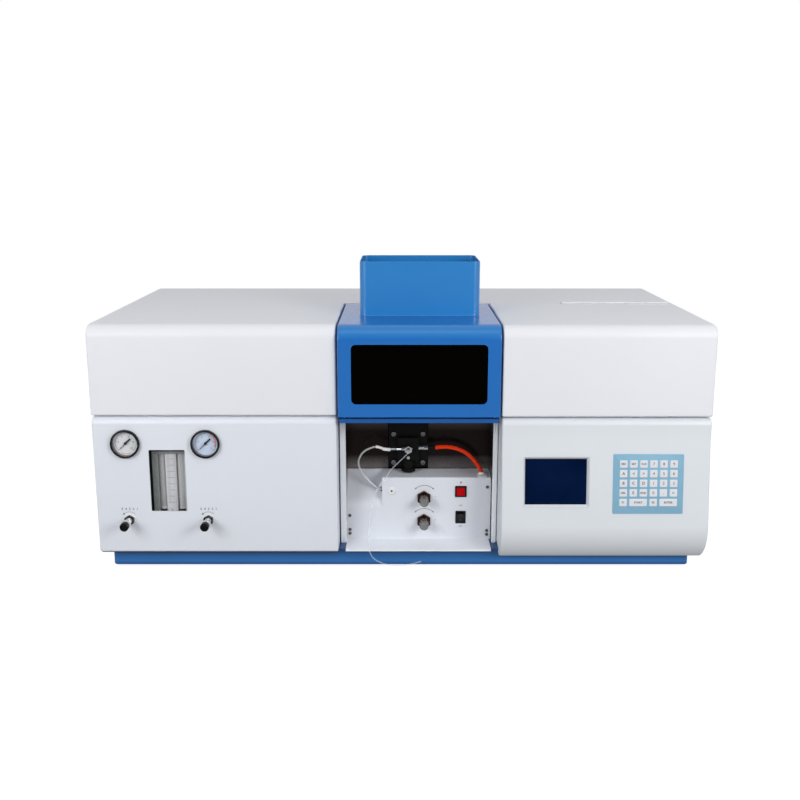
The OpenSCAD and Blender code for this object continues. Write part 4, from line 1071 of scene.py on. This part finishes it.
bm = bmesh.new()
plate(bm, rrect(349.7, 465.9, 108.5, 208.6, 2.0, 6), "y", -0.8, 0.0, 0.25, 2, 0)
LEGEND = [["ESC", "SET", "CLR", "7", "8", "9"], ["A", "<", ">", "4", "5", "6"], ["B", "C", "D", "1", "2", "3"], ["DEL", "E", "END", "0", ".", "+/-"]]
keys = [(c, r, 1, LEGEND[r][c]) for r in range(4) for c in range(6)] + [(0, 4, 1, "F1"), (1, 4, 2, "START"), (3, 4, 1, "F2"), (4, 4, 2, "ENTER")]
for c, r, n, word in keys:
    x0 = 360.7 + 16.56 * c
    x1 = x0 + 16.56 * (n - 1) + 12.4
    z1 = 198.1 - 16.1 * r
    z0 = z1 - 12.3
    lo = [(u, -0.78, v) for u, v in rrect(x0, x1, z0, z1, 1.0, 4)]
    loft(bm, [lo, [(u, -1.12, v) for u, v in rrect(x0 + 0.1, x1 - 0.1, z0 + 0.1, z1 - 0.1, 1.0, 4)], [(u, -1.27, v) for u, v in rrect(x0 + 0.5, x1 - 0.5, z0 + 0.5, z1 - 0.5, 0.8, 4)],
              [(u, -1.3, v) for u, v in rrect(x0 + 1.6, x1 - 1.6, z0 + 1.6, z1 - 1.6, 0.6, 4)]], 1, cap1=True)
    lettering(bm, word, 4.7 if len(word) > 1 else 6.6, (x0 + x1) / 2, -1.34, (z0 + z1) / 2, 3 if word.isdigit() else 2, 0.0, 0.10)
bm.transform(LEAN)
piece("keypad_sheet", bm, "chassis", [M["keypad"], M["key"], M["ink_dark"], M["ink_key"]], ("keypad_membrane",), 24.0, False)

# ------------------------------------------------------------------ controls on the box
bm = bmesh.new()
for z in (108.6, 66.2):
    hexes(bm, "y", 40, z, 60.0, 65.0, 13.0, 90.0, 0.7, 0)
    lathe(bm, [(4.06, 59.6), (7.6, 59.6), (8.4, 60.0), (8.4, 60.3)], "y", 40, z, 40, 0)
    lathe(bm, [(4.06, 59.6), (4.06, 75), (5.6, 75), (5.9, 74.7), (5.9, 65)], "y", 40, z, 32, 0)
    hexes(bm, "y", 40, z, 66.5, 71.5, 11.0, 90.0, 0.5, 0)
piece("knob_bush_nuts", bm, "chassis", M["bronze"], ("knob_bushings",), 30.0)


def knurl(r, t, q):
    if r > 7.5 and 41.0 < t < 57.6:
        return r - 0.28 * (0.5 + 0.5 * math.cos(40 * q))
    return r


for nm, z in (("height_knob", 108.6), ("fore_aft_knob", 66.2)):
    bm = bmesh.new()
    lathe(bm, [(0, 38.3), (5.7, 38.25), (6.2, 38.0), (6.8, 38.0), (7.3, 38.35), (7.65, 39.0), (7.7, 39.8), (7.7, 40.8), (7.7, 41.4), (7.7, 49.0), (7.7, 57.2), (7.7, 57.8), (7.6, 58.9), (7.1, 59.4), (4.0, 59.4), (4.0, 213.4), (3.4, 214), (0, 214)],
          "y", 40, z, 160, [1, 1, 0, 0, 0, 0, 0, 0, 0, 0, 0, 0, 0, 0, 2, 2, 2], knurl)
    if nm == "height_knob":
        gear = []
        for i in range(16):
            a = math.radians(22.5 * i)
            for r, w in ((6.8, -0.92), (8.0, -0.58), (8.85, -0.28), (8.85, 0.28), (8.0, 0.58), (6.8, 0.92)):
                gear.append((40 + r * math.cos(a) - w * math.sin(a), z + r * math.sin(a) + w * math.cos(a)))
        plate(bm, gear, "y", 155, 195, 0.12, 1, 2)
    piece(nm + "_turned", bm, nm, [M["knob_side"], M["knob_face"], M["steel"]], (nm,), 34.0, False)

bm = bmesh.new()


def square_loop(cx, cz, hx, hz, r, y):
    return [(u, y, v) for u, v in rrect(cx - hx, cx + hx, cz - hz, cz + hz, r, 4)]


loft(bm, [square_loop(104, 120, 8.8, 8.8, 0.4, 87), square_loop(104, 120, 8.8, 8.8, 0.4, 65), square_loop(104, 120, 10, 10, 1.2, 65), square_loop(104, 120, 10, 10, 1.2, 63.6), square_loop(104, 120, 9.5, 9.5, 1.0, 63.0),
          square_loop(104, 120, 7.9, 7.9, 0.7, 63.0), square_loop(104, 120, 7.3, 7.3, 0.5, 63.5), square_loop(104, 120, 7.3, 7.3, 0.5, 85)], cap1=True)
loft(bm, [square_loop(104, 73, 8.0, 10.5, 0.4, 83), square_loop(104, 73, 8.0, 10.5, 0.4, 65), square_loop(104, 73, 8.9, 11.4, 1.0, 65), square_loop(104, 73, 8.9, 11.4, 1.0, 63.9), square_loop(104, 73, 8.5, 11.0, 0.9, 63.4),
          square_loop(104, 73, 7.1, 9.6, 0.6, 63.4), square_loop(104, 73, 6.5, 9.0, 0.4, 63.9), square_loop(104, 73, 6.5, 9.0, 0.4, 81)], cap1=True)
piece("switch_surrounds", bm, "chassis", M["black"], ("switch_bezels",), 28.0, False)
bm = bmesh.new()
loft(bm, [square_loop(104, 120, 7.0, 7.0, 0.8, 77), square_loop(104, 120, 7.0, 7.0, 0.8, 62.4), square_loop(104, 120, 6.8, 6.8, 0.9, 61.85), square_loop(104, 120, 6.2, 6.2, 0.9, 61.6), square_loop(104, 120, 4.6, 4.6, 0.8, 61.75), square_loop(104, 120, 2.2, 2.2, 0.6, 61.9)], cap0=True, cap1=True)
piece("ignition_button_cap", bm, "ignition_button", M["red"], ("ignition_button",), 36.0, False)
bm = bmesh.new()
c8, s8 = math.cos(math.radians(8)), math.sin(math.radians(8))
tip = lambda u, v: (70 + u * c8 - v * s8, 73 + u * s8 + v * c8)
up = [(-7.4, 7.7), (-6.7, 5.6), (-6.0, 2.6), (-5.6, 0), (-6.0, -2.6), (-6.7, -5.6), (-7.4, -7.7)]
p = prism(bm, [tip(u, v) for u, v in up + [(-4, -7.7), (3, -4), (3, 4), (-4, 7.7)]], "x", 97.9, 110.1)
bevel(bm, rim(p), 0.45, 2)
lathe(bm, [(0, 96.5), (1.3, 96.5), (1.5, 96.7), (1.5, 111.3), (1.3, 111.5), (0, 111.5)], "x", 70, 73, 20, 0)


def on_rocker(pts, u_of):
    vs = []
    for w, v in pts:
        a, c = tip(u_of(v) - 0.06, v)
        vs.append(bm.verts.new((104 + w, a, c)))
    f = face(bm, vs, 1)
    if f is not None:
        f.normal_update()
        if f.normal.y > 0:
            f.normal_flip()


def rocker_u(v):
    v = abs(v)
    pts = [(0, -5.6), (2.6, -6.0), (5.6, -6.7), (7.7, -7.4)]
    for (a, ua), (b, ub) in zip(pts, pts[1:]):
        if v <= b:
            return ua + (ub - ua) * (v - a) / (b - a)
    return -7.4


for v0 in (2.8, 3.5, 4.2, 4.9):
    on_rocker([(-0.35, v0), (0.35, v0), (0.35, v0 + 0.7), (-0.35, v0 + 0.7)], rocker_u)
for i in range(16):
    a, b = 2 * math.pi * i / 16, 2 * math.pi * (i + 1) / 16
    on_rocker([(1.1 * math.cos(a), -4.2 + 1.1 * math.sin(a)), (1.7 * math.cos(a), -4.2 + 1.7 * math.sin(a)), (1.7 * math.cos(b), -4.2 + 1.7 * math.sin(b)), (1.1 * math.cos(b), -4.2 + 1.1 * math.sin(b))], rocker_u)
piece("power_rocker_cap", bm, "power_rocker", [M["black"], M["ink"]], ("power_rocker",), 34.0, False)

def cross(x, z, arm, half, turn):
    c, s = math.cos(turn), math.sin(turn)
    pts = [(half, half), (half, arm), (-half, arm), (-half, half), (-arm, half), (-arm, -half), (-half, -half), (-half, -arm), (half, -arm), (half, -half), (arm, -half), (arm, half)]
    return [(x + u * c - v * s, z + u * s + v * c) for u, v in pts]


SCREWS = [(150, 128), (150, 48), (150, 41), (-89, 76), (-89, 50), (-89, 43)]
bm = bmesh.new()
for x, z in SCREWS:
    lathe(bm, [(0, 63.15), (1.2, 63.2), (2.2, 63.5), (2.75, 64.1), (2.9, 64.7), (2.9, 65.0), (1.5, 65.0), (1.5, 69.6), (1.0, 70.0), (0, 70.0)], "y", x, z, 28)
ob = raw("box_screws", bm, [M["dark_steel"]])
bm = bmesh.new()
for x, z in SCREWS:
    prism(bm, cross(x, z, 2.0, 0.36, math.radians(20 + 31 * (z % 7))), "y", 62, 64.1)
combine(ob, bm)
dress(ob, "chassis", ("panel_screws",), 30.0, False)

bm = bmesh.new()
lathe(bm, [(1.8, 73), (1.8, 63.1), (2.2, 62.6), (3.0, 62.5), (5.6, 62.7), (6.3, 63.3), (6.5, 64.0), (6.5, 65.0), (3.9, 65.0), (3.9, 72.6), (3.5, 73), (1.8, 73)], "y", -16, 121, 40)
go = lambda o, z: [(u, v, z) for u, v in rrect(133.5 - o, 150.5 + o, 66.2 - o, 91 + o, 7.4 + o, 8)]
loft(bm, [go(-1.65, 141), go(-1.65, 145.0), go(0, 145.0), go(0, 145.9), go(-0.35, 146.4), go(-1.0, 146.6), go(-1.9, 146.45), go(-2.45, 145.9), go(-2.6, 145.0), go(-2.6, 141)], close=True)
lathe(bm, [(0, 63.6), (1.9, 63.6)], "y", -16, 121, 40, 1)
piece("panel_grommets", bm, "chassis", [M["white_pl"], M["black"]], ("panel_bushes",), 34.0, False)

# marks on the box: turning arcs, plus and minus, on and off
bm = bmesh.new()
y = 64.94
for z in (108.6, 66.2):
    arc_band(bm, 40.8, z, 22.0, 22.8, 50, 130, y, 0, 24)
    for a, d in ((50, -1), (130, 1)):
        q = math.radians(a)
        c, s = math.cos(q), math.sin(q)
        flat(bm, [(40.8 + 20.9 * c, z + 20.9 * s), (40.8 + 23.9 * c, z + 23.9 * s), (40.8 + 22.4 * c - d * 3.4 * s, z + 22.4 * s + d * 3.4 * c)], y, 0)
    lettering(bm, "+", 4.6, 60.0, y, z + 1.5, 0)
    lettering(bm, "-", 4.6, 21.0, y, z + 1.5, 0)
flat(bm, [(104.9, 139.6), (102.3, 135.6), (103.8, 135.6), (103.0, 132.6), (105.8, 136.7), (104.3, 136.7)], y, 0)
lettering(bm, "ON", 3.6, 104, y, 94.2, 0)
lettering(bm, "OFF", 3.6, 104, y, 55.8, 0)
piece("box_marks", bm, "chassis", [M["ink"]], (), 30.0, False)

# ------------------------------------------------------------------ burner
bm = bmesh.new()
plate(bm, rrect(-21, 47, 153, 234, 3.0, 6), "y", 100.0, 106.0, 0.8, 3)
plate(bm, rrect(-5, 31, 168, 209, 2.0, 6), "y", 90.0, 100.2, 1.0, 3)


def ribbed(r, t, q):
    if r > 12.0 and 148.1 < t < 152.5:
        return r - 0.4 * (0.5 + 0.5 * math.cos(30 * q))
    return r


lathe(bm, [(0, 147.5), (11.4, 147.5), (12.1, 147.8), (12.5, 148.3), (12.5, 150.2), (12.5, 152.2), (12.1, 152.8), (11.4, 153), (9, 153), (9, 168.4)], "z", 13, 96, 120, 0, ribbed)
lathe(bm, [(4.2, 47.0), (4.9, 47.0), (5.2, 47.4), (5.2, 49.6), (4.7, 49.9), (4.7, 50.5), (5.2, 50.8), (5.2, 58.4), (4.8, 59.0), (3.95, 59.0)], "x", 95, 190, 36, 0)
lathe(bm, [(0, 88.9), (1.0, 88.9), (1.0, 88.4), (2.6, 88.4), (3.0, 88.8), (3.0, 90.1)], "y", 13, 173, 28, 1)
piece("burner_block_body", bm, "burner", [M["block"], M["chrome"]], ("burner_block",), 30.0)


def cap_knurl(r, t, q):
    if r > 4.3 and 96.7 < t < 99.6:
        return r - 0.22 * (0.5 + 0.5 * math.cos(24 * q))
    return r


bm = bmesh.new()
for dx in (-25.7, 25.7):
    for z in (162.5, 214.0):
        lathe(bm, [(0, 98), (2.0, 98), (2.3, 97.7), (2.3, 96.3), (2.6, 96.0), (3.8, 96.0), (4.3, 96.4), (4.4, 96.9), (4.4, 98.2), (4.4, 99.4), (4.2, 100), (2.5, 100), (2.5, 105.6), (2.1, 106), (0, 106)], "y", 13 + dx, z, 96, 0, cap_knurl)
piece("block_cap_screws", bm, "burner", M["cap_steel"], ("block_screws",), 34.0, False)

bm = bmesh.new()
lathe(bm, [(1.3, 74.9), (1.3, 74.2), (1.6, 74.0), (2.6, 74.0), (3.0, 74.5), (3.0, 76.2), (2.6, 76.6), (2.6, 77.4), (3.0, 77.8), (3.0, 80.2)], "y", 13, 190, 32)
hexes(bm, "y", 13, 190, 80.0, 86.0, 7.2, 90.0, 0.6, 0)
lathe(bm, [(6.9, 86.0), (6.9, 88.6), (6.4, 89.0), (6.4, 89.8), (6.9, 90.2), (6.9, 111.6), (6.5, 112), (0, 112)], "y", 13, 190, 40)
lathe(bm, [(0, -8.0), (1.5, -8.0), (2.0, -7.4), (2.6, -5.6), (2.0, -5.4), (2.6, -2.6), (2.0, -2.4), (2.6, 0.4), (2.0, 0.6), (2.0, 2.0), (2.6, 2.3), (2.6, 8.0)], "x", 83, 191, 28)
lathe(bm, [(4.1, 29.5), (4.1, 33.4), (3.5, 33.8), (3.5, 34.4), (4.1, 34.8), (4.1, 37.6), (3.5, 38.0), (3.5, 38.6), (4.1, 39.0), (4.1, 48.0)], "x", 95, 190, 32)
piece("nebulizer_body", bm, "burner", M["chrome"], ("nebulizer",), 30.0)

# joint of the air tube, a moulded sleeve in two halves
bm = bmesh.new()
way = smooth_path(AIR, 24)


def along(x0, x1, r, dz, mi):
    seg = [p + Vector((0, 0, dz)) for p in way if x1 <= p.x <= x0 and p.z > 186]
    k = len(seg) - 1
    sweep(bm, seg, lambda s: r * (0.86 if s < 0.04 or s > 0.96 else 1.0), 20, mi)


along(-18.0, -32.0, 2.9, -0.9, 0)
along(-31.0, -44.5, 2.5, 0.0, 1)
piece("air_tube_sleeve", bm, "burner", [M["white_pl"], M["cream"]], (), 40.0, False)

# thin shutter that travels with the air tube behind its slot
bm = bmesh.new()
plate(bm, rrect(71.7, 94.0, 112.6, 121.4, 1.5, 4), "x", -30.8, -30.2, 0.15, 1)
piece("air_tube_shutter", bm, "carriage", M["white_pl"], (), 40.0, False)

# collar of the fuel hose and the small plate that slides over the slot with it
bm = bmesh.new()
lathe(bm, [(3.2, 147.2), (5.7, 147.2), (5.9, 147.4), (5.9, 147.9), (5.6, 148.2), (5.2, 148.5), (5.0, 150.3), (4.6, 150.8), (4.0, 150.9), (3.2, 150.7)], "z", 140.8, 80.0, 40, 0)
plate(bm, rrect(134.6, 149.6, 69.6, 90.0, 6.6, 8), "z", 146.65, 147.35, 0.25, 2, 1)
piece("hose_collar", bm, "carriage", [M["white_pl"], M["panel"]], (), 40.0, False)

# ------------------------------------------------------------------ lamps
bm = bmesh.new()
for i in range(4):
    a = math.radians(90 * i)
    cy, cz = 122 + 48 * math.cos(a), 300 + 48 * math.sin(a)
    lathe(bm, [(0, 212), (15.5, 212.2), (18.2, 213.4), (19, 216), (19, 330), (18.4, 334), (16, 337.5), (15.8, 338)], "x", cy, cz, 48, 0)
    lathe(bm, [(0, 336), (15.4, 336), (16, 337), (16, 351.4), (15.4, 352), (8, 352), (8, 371), (7.2, 372), (0, 372)], "x", cy, cz, 40, 1)
    lathe(bm, [(0, 300), (4.6, 300), (4.6, 288), (6.4, 288), (6.8, 288.6), (6.8, 322), (0, 322)], "x", cy, cz, 32, 2)
    lathe(bm, [(7.2, 284), (15.6, 284), (15.6, 285.2), (7.2, 285.2), (7.2, 284)], "x", cy, cz, 40, 3)
    lathe(bm, [(0, 322), (1.2, 322), (1.2, 337), (0, 337)], "x", cy, cz, 12, 2)
piece("lamp_bulbs", bm, "lamp_turret", [M["lamp_glass"], M["black"], M["steel"], M["white_pl"]], ("cathode_lamps",), 34.0, False)

# ------------------------------------------------------------------ rear panel screws
bm = bmesh.new()
REAR = [(x, z) for x in (-498, -300, -110, 170, 340, 498) for z in (40, 258)] + [(412, 80), (448, 80)]
for x, z in REAR:
    y0 = 493.0 if z == 80 else 490.0
    lathe(bm, [(0, y0 + 1.9), (1.4, y0 + 1.8), (2.6, y0 + 1.3), (3.1, y0 + 0.6), (3.2, y0), (0, y0)], "y", x, z, 28)
ob = raw("rear_screws", bm, [M["dark_steel"]])
bm = bmesh.new()
for x, z in REAR:
    y0 = 493.0 if z == 80 else 490.0
    prism(bm, cross(x, z, 2.0, 0.36, 0.4), "y", y0 + 0.9, y0 + 3)
combine(ob, bm)
dress(ob, "chassis", (), 30.0, False)

# ------------------------------------------------------------------ finish of the CAD parts that stay
KEEP = {
    "compartment_side_walls": "liner", "compartment_back_wall": "liner", "hood_window": "window", "beam_windows": "beam",
    "hinge_pins": "steel", "slide_rails": "steel", "slide_carriage": "gunmetal", "lift_platform": "gunmetal", "mixing_chamber": "block",
    "burner_head": "alu", "monochromator_case": "alu", "lamp_bracket": "alu", "power_supply": "alu", "control_board": "board",
    "mains_inlet": "black", "gas_inlets": "brass", "rear_panel": "panel", "lamp_turret": "alu",
}
for n, k in KEEP.items():
    o = nodes[n]
    if o.hide_render:
        continue
    o.data.materials.clear()
    o.data.materials.append(M[k])
